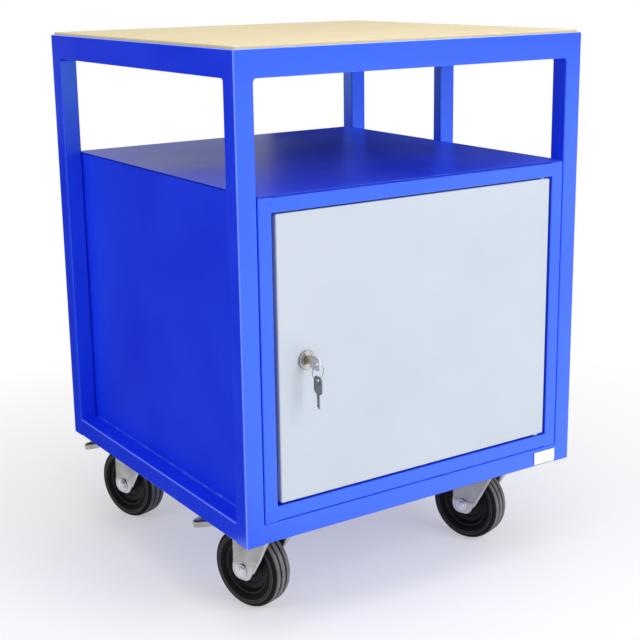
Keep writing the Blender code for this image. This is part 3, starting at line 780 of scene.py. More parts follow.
def linked(name: str, data: bpy.types.ID) -> bpy.types.Object:
    """Puts data into the scene as an object at the origin.

    Args:
        name: Name of the object.
        data: Its mesh, lamp or camera.

    Returns:
        The new object.
    """
    made = bpy.data.objects.new(name, data)
    bpy.context.scene.collection.objects.link(made)
    return made


def raw_mesh(name: str, surface: Surface) -> bpy.types.Mesh:
    """Makes a mesh of a surface's points and faces.

    Args:
        name: Name of the mesh.
        surface: Its shape.

    Returns:
        The new mesh.
    """
    mesh = bpy.data.meshes.new(name)
    faces = surface.quads.tolist() + [cap.tolist() for cap in surface.caps]
    mesh.from_pydata(surface.points.tolist(), [], faces)
    return mesh


def add_piece(
    name: str, surface: Surface, dress: Dress, body: str, nodes: Sequence[str] = (),
    crease: float = 35.0, rim: float = 0.0,
) -> bpy.types.Object:
    """Puts a surface into the scene as one piece.

    Args:
        name: Name of the piece.
        surface: Its shape, in place.
        dress: Its finish.
        body: Body that it rides on.
        nodes: Solids that it stands for.
        crease: Angle in degrees past which an edge is shaded sharp.
        rim: Width of a bevel along its sharp edges, or 0.

    Returns:
        The new object.
    """
    mesh = raw_mesh(name, surface)
    # Per-point share of the lighter colour, mostly painted highlight, read by the shaders.
    with_wear_and_highlight = mesh.attributes.new("wear", "FLOAT", "POINT")
    with_wear_and_highlight.data.foreach_set("value", surface.wear_and_highlight_values().astype(np.float32))
    shape = bmesh.new()
    shape.from_mesh(mesh)
    bmesh.ops.remove_doubles(shape, verts=shape.verts, dist=MERGE)
    bmesh.ops.recalc_face_normals(shape, faces=shape.faces)
    shape.to_mesh(mesh)
    shape.free()
    mesh.shade_smooth()
    piece = linked(name, mesh)
    mesh.materials.append(dress.value.material())
    if rim:
        bevel = piece.modifiers.new("rim", "BEVEL")
        bevel.width = rim
        bevel.segments = 2
        bevel.angle_limit = math.radians(crease)
        bevel.harden_normals = True
    else:
        mesh.set_sharp_from_angle(angle=math.radians(crease))
    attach(piece, body)
    if nodes:
        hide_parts(*nodes)
    LOG.info("%s: %d faces on %s", name, len(mesh.polygons), body)
    return piece


def dress_node(node: str, dress: Dress) -> None:
    """Gives a kept solid its finish.

    Args:
        node: The solid.
        dress: Its finish.
    """
    for slot in frame["nodes"][node].material_slots:
        slot.material = dress.value.material()
    LOG.info("%s: kept", node)


@dataclass
class TubeFrame:
    """Posts and rails of square tube, welded flush.

    Attributes:
        corner: Outside radius of a tube's corners.
        wall: Wall of a tube.
        sharp: Radius that is left where a weld fills a corner.
    """

    corner: float = 0.0025
    wall: float = 0.002
    sharp: float = 0.00025

    def tube(
        self, low: Array, high: Array, axis: Axis,
        fills: Sequence[tuple[float, float, Sequence[int]]] = (), thin: Sequence[int] = (),
    ) -> Surface:
        """Hollow tube whose outside corners are filled at welds.

        Loops of the outside are carried along the axis, then back along the inside. At a fill the
        radius of the named corners goes to a sharp one, and back to the tube's own over one radius
        of length.

        Args:
            low: Lowest corner.
            high: Highest corner.
            axis: Axis along the tube.
            fills: Start, end and corner numbers of each filled stretch, along the axis.
            thin: Numbers of the free corners, along which a painted highlight runs.

        Returns:
            The closed tube.
        """
        size = axis.local(high - low)
        start, end = axis.local(low)[2], axis.local(high)[2]
        marks = [start, end]
        for fill_start, fill_end, _ in fills:
            marks += [fill_start - self.corner, fill_start, fill_end, fill_end + self.corner]
        level = np.unique(np.clip(marks, start, end))
        radii = np.full((len(level), 4), self.corner)
        for fill_start, fill_end, corners in fills:
            reach = np.minimum(level - fill_start, fill_end - level) / self.corner + 1
            share = np.clip(reach, 0, 1)[:, None]
            radii[:, corners] -= share * (self.corner - self.sharp)
        half = size[:2] / 2
        outside = corner_loops(np.repeat(half[None], len(level), 0), radii)
        inner = np.full((2, 4), max(self.corner - self.wall, self.sharp))
        inside = corner_loops(np.repeat(half[None] - self.wall, 2, 0), inner)
        height = np.concatenate([level, [end, start]])[:, None, None]
        loops = np.concatenate([outside, inside])
        grid = np.concatenate([loops, np.broadcast_to(height, loops.shape[:2] + (1,))], -1)
        middle = (low + high) / 2
        middle[axis.value.index(2)] = 0
        # The free corners' arcs take a painted highlight.
        free = np.isin(np.arange(4), thin).repeat(loops.shape[1] // 4)
        wear = np.zeros(loops.shape[:2])
        wear[:len(level)] = ridges() * free
        return lattice(grid, wrap_u=True, wrap_v=True).with_wear_and_highlight(wear).along(axis).moved(middle)

    def build(self) -> None:
        """Makes the corner posts, the middle upright and the bottom rails."""
        rail_top = span("bottom_rail_front")[1][2]
        for name, side in CORNERS.items():
            low, high = span(f"post_{name}")
            high[2] += SEAM
            # The one free corner of a post takes a painted highlight.
            free = TURNS.index(side)
            welded = [corner for corner in range(4) if corner != free]
            fills = [(low[2], rail_top - self.corner, welded)]
            shape = self.tube(low, high, Axis.Z, fills, [free])
            add_piece(f"corner_post_{name}", shape, Dress.BLUE, "bench", [f"post_{name}"])
        low, high = span("post_right_middle")
        upright = self.tube(low - (0, 0, SEAM), high + (0, 0, SEAM), Axis.Z)
        add_piece("middle_upright", upright, Dress.BLUE, "bench", ["post_right_middle"])
        # The last entry names each rail's corners that take a painted highlight.
        for name, axis, thin in (
            ("front", Axis.X, ()), ("rear", Axis.X, (0,)),
            ("left", Axis.Y, (3,)), ("right", Axis.Y, (0,)),
        ):
            low, high = span(f"bottom_rail_{name}")
            reach = np.zeros(3)
            reach[axis.value.index(2)] = SEAM
            shape = self.tube(low - reach, high + reach, axis, thin=thin)
            add_piece(f"foot_rail_{name}", shape, Dress.BLUE, "bench", [f"bottom_rail_{name}"])


@dataclass
class Worktop:
    """Angle rim and the board that lies in it.

    Attributes:
        corner: Radius of the rim's corners in plan, as the posts have.
        sheet: Thickness of the angle.
        flange: Width of its lower leg.
        edge: Radius of its upper edges.
        board_edge: Radius of the board's edges.
        board_corner: Radius of its corners in plan.
        weld: Leg of the welds between posts and rim.
        sunk: How far a weld reaches into both faces.
        inset: Distance of a weld's ends from the post's edges.
    """

    corner: float = 0.0025
    sheet: float = 0.004
    flange: float = 0.030
    edge: float = 0.0012
    board_edge: float = 0.0009
    board_corner: float = 0.002
    weld: float = 0.0045
    sunk: float = 0.0006
    inset: float = 0.001

    def corner_weld(self, post: str, side: tuple[int, int], axis: Axis) -> Surface:
        """Hollow weld between a post's inner face and the rim over it.

        A quarter circle about a point one leg out from both faces is carried along the axis.

        Args:
            post: Solid of the post.
            side: Signs of the post's place in X and Y.
            axis: Axis along the weld.

        Returns:
            The closed weld.
        """
        low, high = span(post)
        along, across = (0, 1) if axis is Axis.X else (1, 0)
        leg, sunk = self.weld, self.sunk
        section = path(
            (-sunk, -sunk), (leg, -sunk), bend((leg, leg), leg, 270, 180, 6), (-sunk, leg),
        )
        inner = low[across] if side[across] > 0 else high[across]
        grid = np.empty((2, len(section), 3))
        grid[:, :, across] = inner - side[across] * section[:, 0]
        grid[:, :, along] = np.array([low[along] + self.inset, high[along] - self.inset])[:, None]
        grid[:, :, 2] = high[2] + SEAM - section[:, 1]
        return lattice(grid, wrap_v=True, cap=True)

    def rim(self) -> Surface:
        """L profile carried round the rounded rectangle of the four rim rails.

        A painted highlight runs along the outer upright corners and the upper edge.

        Returns:
            The closed rim.
        """
        low = np.min([span(f"rim_{side}")[0] for side in ("front", "left")], 0)
        high = np.max([span(f"rim_{side}")[1] for side in ("rear", "right")], 0)
        tall, soft = high[2] - low[2], self.edge / 3
        profile = path(
            (self.flange, 0), (soft + HOLD, 0), bend((soft, soft), soft, 270, 180, 2),
            (0, soft + HOLD), (0, tall - self.edge - HOLD),
            bend((self.edge, tall - self.edge), self.edge, 180, 90),
            bend((self.sheet - self.edge, tall - self.edge), self.edge, 90, 0),
            (self.sheet, tall - self.edge - HOLD), (self.sheet, self.sheet),
            (self.flange, self.sheet),
        )
        grid = framed((high - low)[:2], self.corner, profile)
        middle = (low + high) / 2
        # Painted highlight along the outer upright corners and the upper edge.
        wear = np.maximum((profile[:, :1] < MERGE) * ridges(), profile[:, 1:] > tall - self.edge)
        made = lattice(grid, wrap_u=True, wrap_v=True).with_wear_and_highlight(wear)
        return made.moved((middle[0], middle[1], low[2]))

    def build(self) -> None:
        """Makes the rim, its welds and the board."""
        sides = [f"rim_{side}" for side in ("front", "rear", "left", "right")]
        add_piece("angle_rim", self.rim(), Dress.BLUE, "bench", sides)
        for name, side in CORNERS.items():
            post = f"post_{name}"
            weld = self.corner_weld(post, side, Axis.X) + self.corner_weld(post, side, Axis.Y)
            add_piece(f"rim_weld_{name}", weld, Dress.BLUE, "bench")
        low, high = span("worktop_board")
        board = slab(low, high, Axis.Z, self.board_edge, self.board_corner)
        add_piece("work_board", board, Dress.WOOD, "bench", ["worktop_board"])


@dataclass
class Cabinet:
    """Sheet cabinet with a tube frame round its door.

    Attributes:
        tubes: Tube of the front frame.
        sheet_edge: Radius of the shelf's edges.
        bead: Mean leg of the weld bead along the foot of a side panel.
        swells: Share, radians and phase of each sine by which the leg swells along the bead.
        dashes: Radians and phase of each sine that makes the dashes of painted highlight.
        thin: Painted highlight between the dashes, and how much a dash adds.
    """

    tubes: TubeFrame = field(default_factory=lambda: TubeFrame(corner=0.002, wall=0.0015))
    sheet_edge: float = 0.0008
    bead: float = 0.0034
    swells: Sequence[Triple] = ((0.16, 41.0, 0.0), (0.10, 97.0, 1.0))
    dashes: Sequence[Pair] = ((151.0, 0.0), (67.0, 2.0))
    thin: Pair = (0.05, 0.3)

    def panel_bead(self, side: int) -> Surface:
        """Weld bead in the corner between a side panel and the bottom rail below it.

        A hollow quarter circle is carried along Y. Its leg swells by two slow sines, as a bead laid
        by hand does, and is thinner at both ends. Behind it the bead goes down past the panel's
        foot. Dashes of painted highlight run along its middle, where the sum of two quicker sines
        is high.

        Args:
            side: -1 for the left panel, 1 for the right one.

        Returns:
            The closed bead.
        """
        panel_low, panel_high = span("cabinet_left_panel" if side < 0 else "cabinet_right_panel")
        low, high = span("bottom_rail_left")
        run = np.linspace(low[1], high[1], 181)
        share = (run - low[1]) / (high[1] - low[1])
        swell = sum(part * np.sin(rate * share + phase) for part, rate, phase in self.swells)
        leg = self.bead * (1 + swell)
        last = 0.35
        leg *= last + (1 - last) * smooth(np.minimum(share, 1 - share), 0.0, 0.02)
        face = panel_low[0] if side < 0 else panel_high[0]
        angle = np.linspace(0, np.pi / 2, 7)
        out = np.concatenate([1 - np.sin(angle), [-0.25, -0.25, 1.0]])
        up = np.concatenate([1 - np.cos(angle), [1.0, -0.3, -0.3]])
        grid = np.stack([
            face + side * leg[:, None] * out, np.broadcast_to(run[:, None], (len(run), len(out))),
            high[2] + leg[:, None] * up,
        ], -1)
        # Painted highlight in dashes along the crest.
        crest = np.concatenate([np.sin(2 * angle) ** 2, np.zeros(3)])
        waves = sum(np.sin(rate * share + phase) for rate, phase in self.dashes)
        wear = self.thin[0] + self.thin[1] * smooth(waves, 0.3, 1.5)
        return lattice(grid, wrap_v=True, cap=True).with_wear_and_highlight(wear[:, None] * crest)

    def build(self) -> None:
        """Makes the front frame, the shelf and the beads, and dresses the plain sheets."""
        for side, name in ((-1, "left"), (1, "right")):
            add_piece(f"panel_bead_{name}", self.panel_bead(side), Dress.BLUE, "bench")
        for node in ("floor", "left_panel", "right_panel", "back_panel"):
            dress_node(f"cabinet_{node}", Dress.BLUE)
        shelf = slab(*span("shelf"), Axis.Z, self.sheet_edge)
        add_piece("cabinet_shelf", shelf, Dress.BLUE, "bench", ["shelf"])
        rail = span("front_rail_top")
        width = rail[1][2] - rail[0][2]
        for name, welded in (("left", (0, 3)), ("right", (1, 2))):
            low, high = span(f"front_stile_{name}")
            soft = self.tubes.corner
            foot = (low[2], low[2] + width - soft, welded)
            head = (high[2] - width + soft, high[2], welded)
            shape = self.tubes.tube(low, high, Axis.Z, [foot, head])
            add_piece(f"door_stile_{name}", shape, Dress.BLUE, "bench", [f"front_stile_{name}"])
        for name in ("top", "bottom"):
            low, high = span(f"front_rail_{name}")
            shape = self.tubes.tube(low - (SEAM, 0, 0), high + (SEAM, 0, 0), Axis.X)
            add_piece(f"door_rail_{name}", shape, Dress.BLUE, "bench", [f"front_rail_{name}"])


@dataclass
class Door:
    """Folded door pan on two pivot pins.

    Attributes:
        sheet: Thickness of the sheet.
        lip: Width of the lip behind.
        fold: Outside radius of the folds.
        corner: Radius of the door's corners.
    """

    sheet: float = 0.0012
    lip: float = 0.020
    fold: float = 0.0020
    corner: float = 0.0025

    def pan(self) -> Surface:
        """Face, folds, flanges and lip, carried round the door outside and back along the inside.

        Returns:
            The closed pan.
        """
        low, high = span("door_pan")
        size = Axis.Y.local(high - low)
        deep, fold, thin = size[2], self.fold, self.sheet
        profile = path(
            (fold + HOLD, 0), bend((fold, fold), fold, 270, 180, 6), (0, fold + HOLD),
            (0, deep - fold - HOLD), bend((fold, deep - fold), fold, 180, 90, 6),
            (fold + HOLD, deep), (self.lip, deep),
            (self.lip, deep - thin), bend((fold, deep - fold), fold - thin, 90, 180, 3),
            bend((fold, fold), fold - thin, 180, 270, 3),
        )
        grid = framed(size[:2], self.corner, profile)
        middle = (low + high) / 2
        made = lattice(grid, wrap_v=True, cap=True).along(Axis.Y)
        return made.moved((middle[0], low[1], middle[2]))

    def build(self) -> None:
        """Makes the pan and dresses the pins."""
        add_piece("door_leaf", self.pan(), Dress.GREY, "door", ["door_pan"])
        for node in ("door_pin_bottom", "door_pin_top"):
            dress_node(node, Dress.WHITE)


@dataclass
class Lock:
    """Cam lock with a key in it, a split ring and a second key.

    Attributes:
        flange: Radius of the flange.
        proud: How far the flange stands out of the door.
        edge: Radius of its front edge.
        groove: Inner and outer radius of the groove in its face.
        sunk: Depth of the groove.
        bore: Radius of the plug's bore.
        barrel: Radius of the threaded barrel.
        pitch: Pitch of its thread.
        thread: Half depth of the thread.
        plain: Length without thread at each end.
        bow: Length and width of a key's bow.
        bow_corner: Radius of its corners.
        hole: Radius of the hole in the bow.
        inset: Distance of the hole from the bow's end.
        blade: Length and height of a key's blade.
        notches: Place and depth of each notch in the blade.
        notch: Half width of a notch.
        thick: Thickness of a key.
        crease: Angle past which an edge of a key is sharp, in degrees.
        ring: Radius of the split ring.
        wire: Radius of its wire.
    """

    flange: float = 0.0135
    proud: float = 0.004
    edge: float = 0.0016
    groove: Pair = (0.0092, 0.0106)
    sunk: float = 0.0005
    bore: float = 0.0062
    barrel: float = 0.009
    pitch: float = 0.0012
    thread: float = 0.0003
    plain: float = 0.0012
    bow: Pair = (0.026, 0.020)
    bow_corner: float = 0.0065
    hole: float = 0.003
    inset: float = 0.0055
    blade: Pair = (0.021, 0.0065)
    notches: Sequence[Pair] = (
        (0.0055, 0.0009), (0.0085, 0.0016), (0.0115, 0.0007), (0.0142, 0.0019), (0.0165, 0.0011),
    )
    notch: float = 0.0011
    thick: float = 0.002
    crease: float = 25.0
    ring: float = 0.0095
    wire: float = 0.0004

    def body(self) -> Surface:
        """Flange with a turned groove and a rounded edge, and a threaded barrel, turned about Y.

        The thread is drawn as rings: the barrel's radius less a cosine wave along it.

        Returns:
            The closed body.
        """
        end = span("lock_body")[1][1] - LOCK_PLACE[1]
        front, soft, slope = -self.proud, self.edge, 0.0004
        (inner, outer), sunk = self.groove, -self.proud + self.sunk
        count = int((end - 2 * self.plain) / self.pitch) * 4
        turns = np.linspace(self.plain, end - self.plain, count)
        wave = np.cos(turns * 2 * np.pi / self.pitch)
        thread = np.stack([self.barrel + self.thread * (wave - 1), turns], -1)
        profile = path(
            (self.bore, end), (self.bore, front + slope), (self.bore + slope, front),
            (inner, front), (inner + slope, sunk), (outer - slope, sunk), (outer, front),
            bend((self.flange - soft, front + soft), soft, 270, 360, 6), (self.flange, -SEAM),
            (self.barrel, -SEAM), thread, (self.barrel - 2 * self.thread, end),
        )
        return revolve(profile, 72, ring=True).along(Axis.Y).moved(LOCK_PLACE)

    def key(self) -> Surface:
        """Key in the YZ plane, the hole at the origin and the blade along Y.

        The bow is a ring of loops from the hole to a rounded rectangle and back, with a sunk field.
        The blade carries a section along Y whose upper edge follows the notches: depth times a tent
        about each notch.

        Returns:
            The closed bow and blade.
        """
        long, wide = self.bow
        middle = np.array([long / 2 - self.inset, 0])
        sides = np.array([[long / 2, wide / 2]])
        rim = corner_loops(sides, np.full((1, 4), self.bow_corner))[0] + middle
        inner = self.hole * rim / np.linalg.norm(rim, axis=-1, keepdims=True)
        half = self.thick / 2
        share = np.array([0, 0.18, 0.24, 0.70, 0.76, 0.94, 1.0])
        face = half - np.array([0.0002, 0, 0.0003, 0.0003, 0, 0, 0.0004])
        share = np.concatenate([share, share[::-1]])[:, None, None]
        face = np.concatenate([face, -face[::-1]])[:, None, None]
        flat = inner + share * (rim - inner)
        bow = np.concatenate([np.broadcast_to(face, flat.shape[:2] + (1,)), flat], -1)
        return lattice(bow, wrap_u=True, wrap_v=True) + self.key_blade()

    def key_blade(self) -> Surface:
        """Grooved blade with notches along its upper edge and a slanted tip.

        A section is carried along Y. Its upper edge is lowered by each notch's depth times a tent
        about its place, cut flat at the foot, and falls by two to one at the tip.

        Returns:
            The closed blade.
        """
        long, tall = self.blade
        start = self.bow[0] - self.inset
        reach = np.linspace(-0.001, long, 110)
        notches, depth = np.transpose(self.notches)
        tents = depth * np.clip(1.4 - np.abs(reach[:, None] - notches) / self.notch, 0, 1)
        low = -tall / 2
        top = tall / 2 - tents.max(1)
        top = np.minimum(top, low + (long - reach) * 2.0 + 0.0004)[:, None]
        rise = np.array([0, 0.1, 0.34, 0.40, 0.52, 0.58, 0.9, 1.0])
        side = self.thick / 2 - np.array([0.0004, 0, 0, 0.0005, 0.0005, 0, 0, 0.0003])
        rise = np.concatenate([rise, rise[::-1]])
        side = np.concatenate([side, -side[::-1]])
        height = low + rise * (top - low)
        width = np.broadcast_to(side, height.shape)
        run = np.broadcast_to(start + reach[:, None], height.shape)
        return lattice(np.stack([width, run, height], -1), wrap_v=True, cap=True)

    def split_ring(self) -> Surface:
        """Wire wound nearly twice about Y and shifted along it by its own width in all.

        Returns:
            The closed wire.
        """
        low, high = span("key_ring")
        start, short = 0.2, 0.35
        turn = np.linspace(start, start + 4 * np.pi - short, 121)
        outward = np.stack([np.cos(turn), 0 * turn, np.sin(turn)], -1)
        across = np.broadcast_to([0.0, 1.0, 0.0], outward.shape)
        shift = np.linspace(-self.wire, self.wire, len(turn))[:, None]
        centre = (low + high) / 2 + self.ring * outward + shift * across
        return swept_ring(centre, outward, across, self.wire)

    def build(self) -> None:
        """Makes the lock body, keys and ring, and dresses the rest of the lock."""
        add_piece("lock_flange", self.body(), Dress.NICKEL, "door", ["lock_body"])
        dress_node("lock_nut", Dress.ZINC)
        dress_node("lock_cam", Dress.ZINC)
        dress_node("lock_plug", Dress.BRASS)
        low, high = span("key")
        place = ((low[0] + high[0]) / 2, low[1] + self.inset, (low[2] + high[2]) / 2)
        key = self.key().moved(place)
        add_piece("lock_key", key, Dress.BOLT, "lock_barrel", ["key"], self.crease)
        add_piece("split_ring", self.split_ring(), Dress.STEEL, "ring", ["key_ring"])
        low, high = span("spare_key")
        place = ((low[0] + high[0]) / 2, (low[1] + high[1]) / 2, high[2] - self.inset)
        hanging = self.key().turned(-math.pi / 2, Axis.X).moved(place)
        add_piece("hanging_key", hanging, Dress.STEEL, "second_key", ["spare_key"], self.crease)


@dataclass
class Castor:
    """Swivel castor with a pressed fork, a ribbed rubber tyre and, on the left, a brake pedal.

    Local X lies along the axle, local Y trails behind the swivel axis, and Z is up.

    Attributes:
        corner: Corner of the bench that it stands at.
        braked: Whether it has a pedal.
        radius: Radius of the wheel.
        tread: Width of the tyre.
        inner: Half distance between the fork's legs.
        sheet: Thickness of the fork.
        crown: Height of the fork's crown, its upper side.
        fold: Radius of the folds beside the crown.
        lip: Width of a leg's turned-out front edge, low down and high up.
        curl: How far back that edge starts to turn.
        joggle: How far a leg's foot is set outward.
        foot_round: Radius of the rounded foot of a leg.
        toe: How far the foot reaches before the axle.
        heel: How far the foot reaches behind the axle.
        front: How far the crown reaches before the swivel axis.
        pin: Radius of the kingpin and of the axle.
        race: Radius of the lower ball race.
        race_bore: Radius of its bore.
        cover: Radius of the upper race.
        plate_bottom: Height of the underside of the top plate.
        plate_sheet: Thickness of the top plate.
        gusset: Side of the corner plate, and where the cut of its corner starts.
        gusset_sheet: Thickness of the corner plate.
        bolt: Distances of a bolt from the swivel axis in X and in Y.
        reach: Reach of the pedal from the swivel axis.
        pedal: Width of the pedal.
        pedal_wall: Thickness of the pedal.
        tray: Length of the pedal's tray.
        skirt: Depth of its turned-down rim.
        ridge: Pitch and height of the ridges on it.
        tilt: Slope of the pedal's arm at rest, in degrees.
        droop: How much steeper the tray is.
        crease: Angle past which an edge of a pressed piece is sharp, in degrees.
        rim: Bevel along the sharp edges of the plates and the fork.
        pedal_rim: Bevel along those of the pedal.
    """

    corner: str
    braked: bool
    radius: float = 0.0625
    tread: float = 0.037
    inner: float = 0.021
    sheet: float = 0.0035
    crown: float = 0.1385
    fold: float = 0.007
    lip: Pair = (0.0035, 0.0090)
    curl: float = 0.006
    joggle: float = 0.0014
    foot_round: float = 0.0145
    toe: float = 0.020
    heel: float = 0.018
    front: float = 0.031
    pin: float = 0.006
    race: float = 0.033
    race_bore: float = 0.0066
    cover: float = 0.037
    plate_bottom: float = 0.1528
    plate_sheet: float = 0.003
    gusset: Pair = (0.120, 0.090)
    gusset_sheet: float = 0.005
    bolt: Pair = (0.030, 0.040)
    reach: float = 0.153
    pedal: float = 0.036
    pedal_wall: float = 0.0025
    tray: float = 0.052
    skirt: float = 0.012
    ridge: Pair = (0.006, 0.0005)
    tilt: float = 7.0
    droop: float = 11.0
    crease: float = 50.0
    rim: float = 0.0005
    pedal_rim: float = 0.0004

    def __post_init__(self) -> None:
        """Takes the place, turn and trail from the joints."""
        self.name = f"castor_{self.corner}"
        swivel = np.array(JOINTS[f"{self.name}_swivel"]["pos_m"])
        spin = JOINTS[f"{self.name}_spin"]
        self.foot = np.array([swivel[0], swivel[1], 0.0])
        self.turn = math.atan2(spin["axis"][1], spin["axis"][0])
        self.trail = float(np.linalg.norm(np.array(spin["pos_m"])[:2] - swivel[:2]))

    def placed(self, surface: Surface) -> Surface:
        """A local surface in its place under the bench."""
        return surface.turned(self.turn, Axis.Z).moved(self.foot)

    def on_axle(self, surface: Surface) -> Surface:
        """A surface turned about Z, laid along the axle."""
        return surface.along(Axis.X).moved((0, self.trail, self.radius))

    def tyre(self) -> Surface:
        """Ring profile: bead, wall with mould lines, round shoulder, three ribs, two grooves.

        Its pairs are distances from the axle and from the wheel's middle. The tread is marked for
        grime and a painted sheen, and the mould lines a little.

        Returns:
            The closed tyre on its axle.
        """
        half, out, soft, shy = self.tread / 2, self.radius, 0.0075, 0.0003
        wall = path(
            (0.0423, 0.0140), (0.0432, 0.0152), (0.0446, 0.0154), (0.0449, 0.0162),
            (0.0470, 0.0176), (0.0500, 0.0183), (0.0506, 0.0185), (0.0512, 0.0185),
            (0.0518, 0.0184),
        )
        shoulder = bend((out - soft - shy, half - soft), soft, 90, 12, 8)
        groove = path(
            (out - 0.0002, 0.0080), (out - 0.0009, 0.0074), (out - 0.0026, 0.0068),
            (out - 0.0030, 0.0056), (out - 0.0026, 0.0044), (out - 0.0009, 0.0038),
            (out - 0.0001, 0.0031), (out, 0.0016),
        )
        side = np.concatenate([wall, shoulder, groove])
        mirror = side[::-1] * (1, -1)
        profile = np.concatenate([side, [(out, 0.0)], mirror])
        # rolled is grime and a painted sheen on the tread; lined marks the mould lines a little.
        rolled, lined, steps = 0.75, 0.25, 144
        with_wear_and_highlight = rolled * smooth(profile[:, 0], out - 0.0018, out - 0.0003)
        with_wear_and_highlight += lined * (np.abs(profile[:, 1]) > 0.0184)
        return self.on_axle(revolve(profile, steps, ring=True).with_wear_and_highlight(np.tile(with_wear_and_highlight, steps)))

    def core(self) -> Surface:
        """Ring profile: hub, dished web with a step, and the rim under the tyre.

        Returns:
            The closed wheel centre on its axle.
        """
        side = path(
            (0.0064, 0.0198), (0.0105, 0.0198), (0.0125, 0.0190), (0.0132, 0.0150),
            (0.0150, 0.0090), (0.0180, 0.0062), (0.0262, 0.0056), (0.0272, 0.0070),
            (0.0285, 0.0074), (0.0345, 0.0080), (0.0365, 0.0098), (0.0375, 0.0130),
            (0.0390, 0.0142), (0.0416, 0.0142), (0.0420, 0.0134),
        )
        profile = np.concatenate([side, side[::-1] * (1, -1)])
        return self.on_axle(revolve(profile, 96, ring=True))

    def fork(self) -> Surface:
        """One sheet bent into a U: up a leg, over the crown and down the other leg.

        The path runs in XZ. Across it, Y goes from the front edge, a line that touches the toe's
        circle, to the rear edge, and both follow quarter circles round the foot. The front edge
        turns outward in a quarter ellipse that grows towards the crown, and the foot is joggled
        outward. The turned edge takes a painted highlight, and the foot is painted lighter.

        Returns:
            The closed fork in its place.
        """
        thin, bulb = self.sheet, self.foot_round
        side, top, fold = self.inner + thin / 2, self.crown - thin / 2, self.fold
        rise = np.concatenate([
            self.radius - bulb * np.cos(np.linspace(0.02, np.pi / 2, 16))[:-1],
            np.linspace(self.radius, top - fold, 26),
        ])
        leg = np.stack([np.full(len(rise), side), rise], -1)
        arch = bend((side - fold, top - fold), fold, 0, 90, 8)[1:]
        flat = np.stack([np.linspace(side - fold, 0, 7)[1:], np.full(6, top)], -1)
        half = np.concatenate([leg, arch, flat])
        facing = np.concatenate([
            np.broadcast_to([1.0, 0.0], leg.shape), bend((0, 0), 1, 0, 90, 8)[1:],
            np.broadcast_to([0.0, 1.0], flat.shape),
        ])
        flip = np.array([-1.0, 1.0])
        line = np.concatenate([half * flip, half[-2::-1]])
        facing = np.concatenate([facing * flip, facing[-2::-1]])
        height = line[:, 1]

        before, behind = self.leg_edges(height)
        # The lip starts above the axle, widens from half height up, and ends in the fold
        narrow, wide = self.lip
        lip = narrow + (wide - narrow) * smooth(height, 0.085, 0.125)
        lip *= smooth(height, self.radius - 0.004, 0.075)
        lip *= 1 - smooth(height, top - 0.9 * fold, top - 0.3 * fold)
        joggle = self.joggle * (1 - smooth(height, 0.0670, 0.0730))
        turned = np.linspace(0, np.pi / 2, 7)
        depth = np.minimum(self.curl, 0.3 * (behind - before))[:, None]
        roll = depth * (1 - np.sin(turned))
        edge = lip[:, None] * (1 - np.cos(turned))
        run = np.linspace(0, 1, 14)[1:]
        sheet = before[:, None] + depth + run * (behind - before - depth[:, 0])[:, None]
        reach = np.concatenate([before[:, None] + roll[:, ::-1], sheet], 1)
        proud = np.concatenate([edge[:, ::-1], 0 * sheet], 1) + joggle[:, None]
        grid = np.stack([
            line[:, :1] + facing[:, :1] * proud, reach, line[:, 1:] + facing[:, 1:] * proud,
        ], -1)
        # Lighter paint on the foot, and a painted highlight on the turned-out lip.
        foot = 1 - smooth(grid[..., 2], 0.066, 0.072)
        bright = np.maximum(foot, 0.8 * smooth(proud, 0.0020, 0.0035))
        made = thickened(grid, thin)
        return self.placed(made.with_wear_and_highlight(np.concatenate([bright, bright[:, ::-1]], 1)))

    def leg_edges(self, height: Array) -> tuple[Array, Array]:
        """Front and rear edge of a fork leg.

        The front edge is the line from the crown's front that touches the toe's circle. Below the
        touching point the edge follows that circle: y = centre - sqrt(r^2 - (axle height - z)^2).
        The rear edge is upright down to the axle and then follows the heel's circle in the same
        way.

        Args:
            height: Heights at which the edges are wanted.

        Returns:
            Places of both edges along Y.
        """
        bulb = self.foot_round
        centre = self.trail - self.toe + bulb
        ahead, up = -self.front - centre, self.crown - self.radius
        angle = math.atan2(up, ahead) + math.acos(bulb / math.hypot(ahead, up))
        touch_y, touch_z = centre + bulb * math.cos(angle), self.radius + bulb * math.sin(angle)
        slope = (-self.front - touch_y) / (self.crown - touch_z)
        below = np.sqrt(np.maximum(bulb ** 2 - np.clip(self.radius - height, 0, None) ** 2, 0.0))
        before = np.where(height > touch_z, touch_y + slope * (height - touch_z), centre - below)
        return np.maximum(before, -self.front), self.trail + self.heel - bulb + below

    def races(self) -> Surface:
        """Lower ball race: a dished ring with a rolled edge, turned about the swivel axis.

        Returns:
            The closed ring in its place.
        """
        low, top, out = self.crown - 0.001, self.crown + 0.0078, self.race
        profile = path(
            (self.race_bore, low), (out - 0.008, low), (out - 0.0055, low + 0.0022),
            bend((out - 0.0032, top - 0.0034), 0.0032, -40, 90, 8), (out - 0.007, top),
            (self.race_bore, top),
        )
        return self.placed(revolve(profile, 72, ring=True))

    def plate(self) -> Surface:
        """Top plate with rounded edges, the race cover pressed out of it and the kingpin's head.

        Returns:
            Plate, cover and pin in their place.
        """
        low, high = span(f"{self.name}_plate")
        edge, corner, pressed, head = 0.0006, 0.008, 0.006, 0.0035
        flat = slab(np.array([low[0], low[1], self.plate_bottom]), high, Axis.Z, edge, corner)
        base, out, inside = self.plate_bottom - pressed, self.cover, self.plate_bottom + edge
        cover = revolve(path(
            (0.0, base), (out - 0.002, base),
            bend((out - 0.0012, base + 0.0014), 0.0014, 270, 360, 4), (out, base + 0.003),
            (out - 0.004, inside), (0.0, inside),
        ), 72)
        pin = rod(self.pin, low[2] + head + SEAM, base)
        end = hexagon(0.0095, head).turned(math.pi, Axis.X).moved((0, 0, low[2] + head))
        return flat + (cover + pin + end).moved(self.foot)

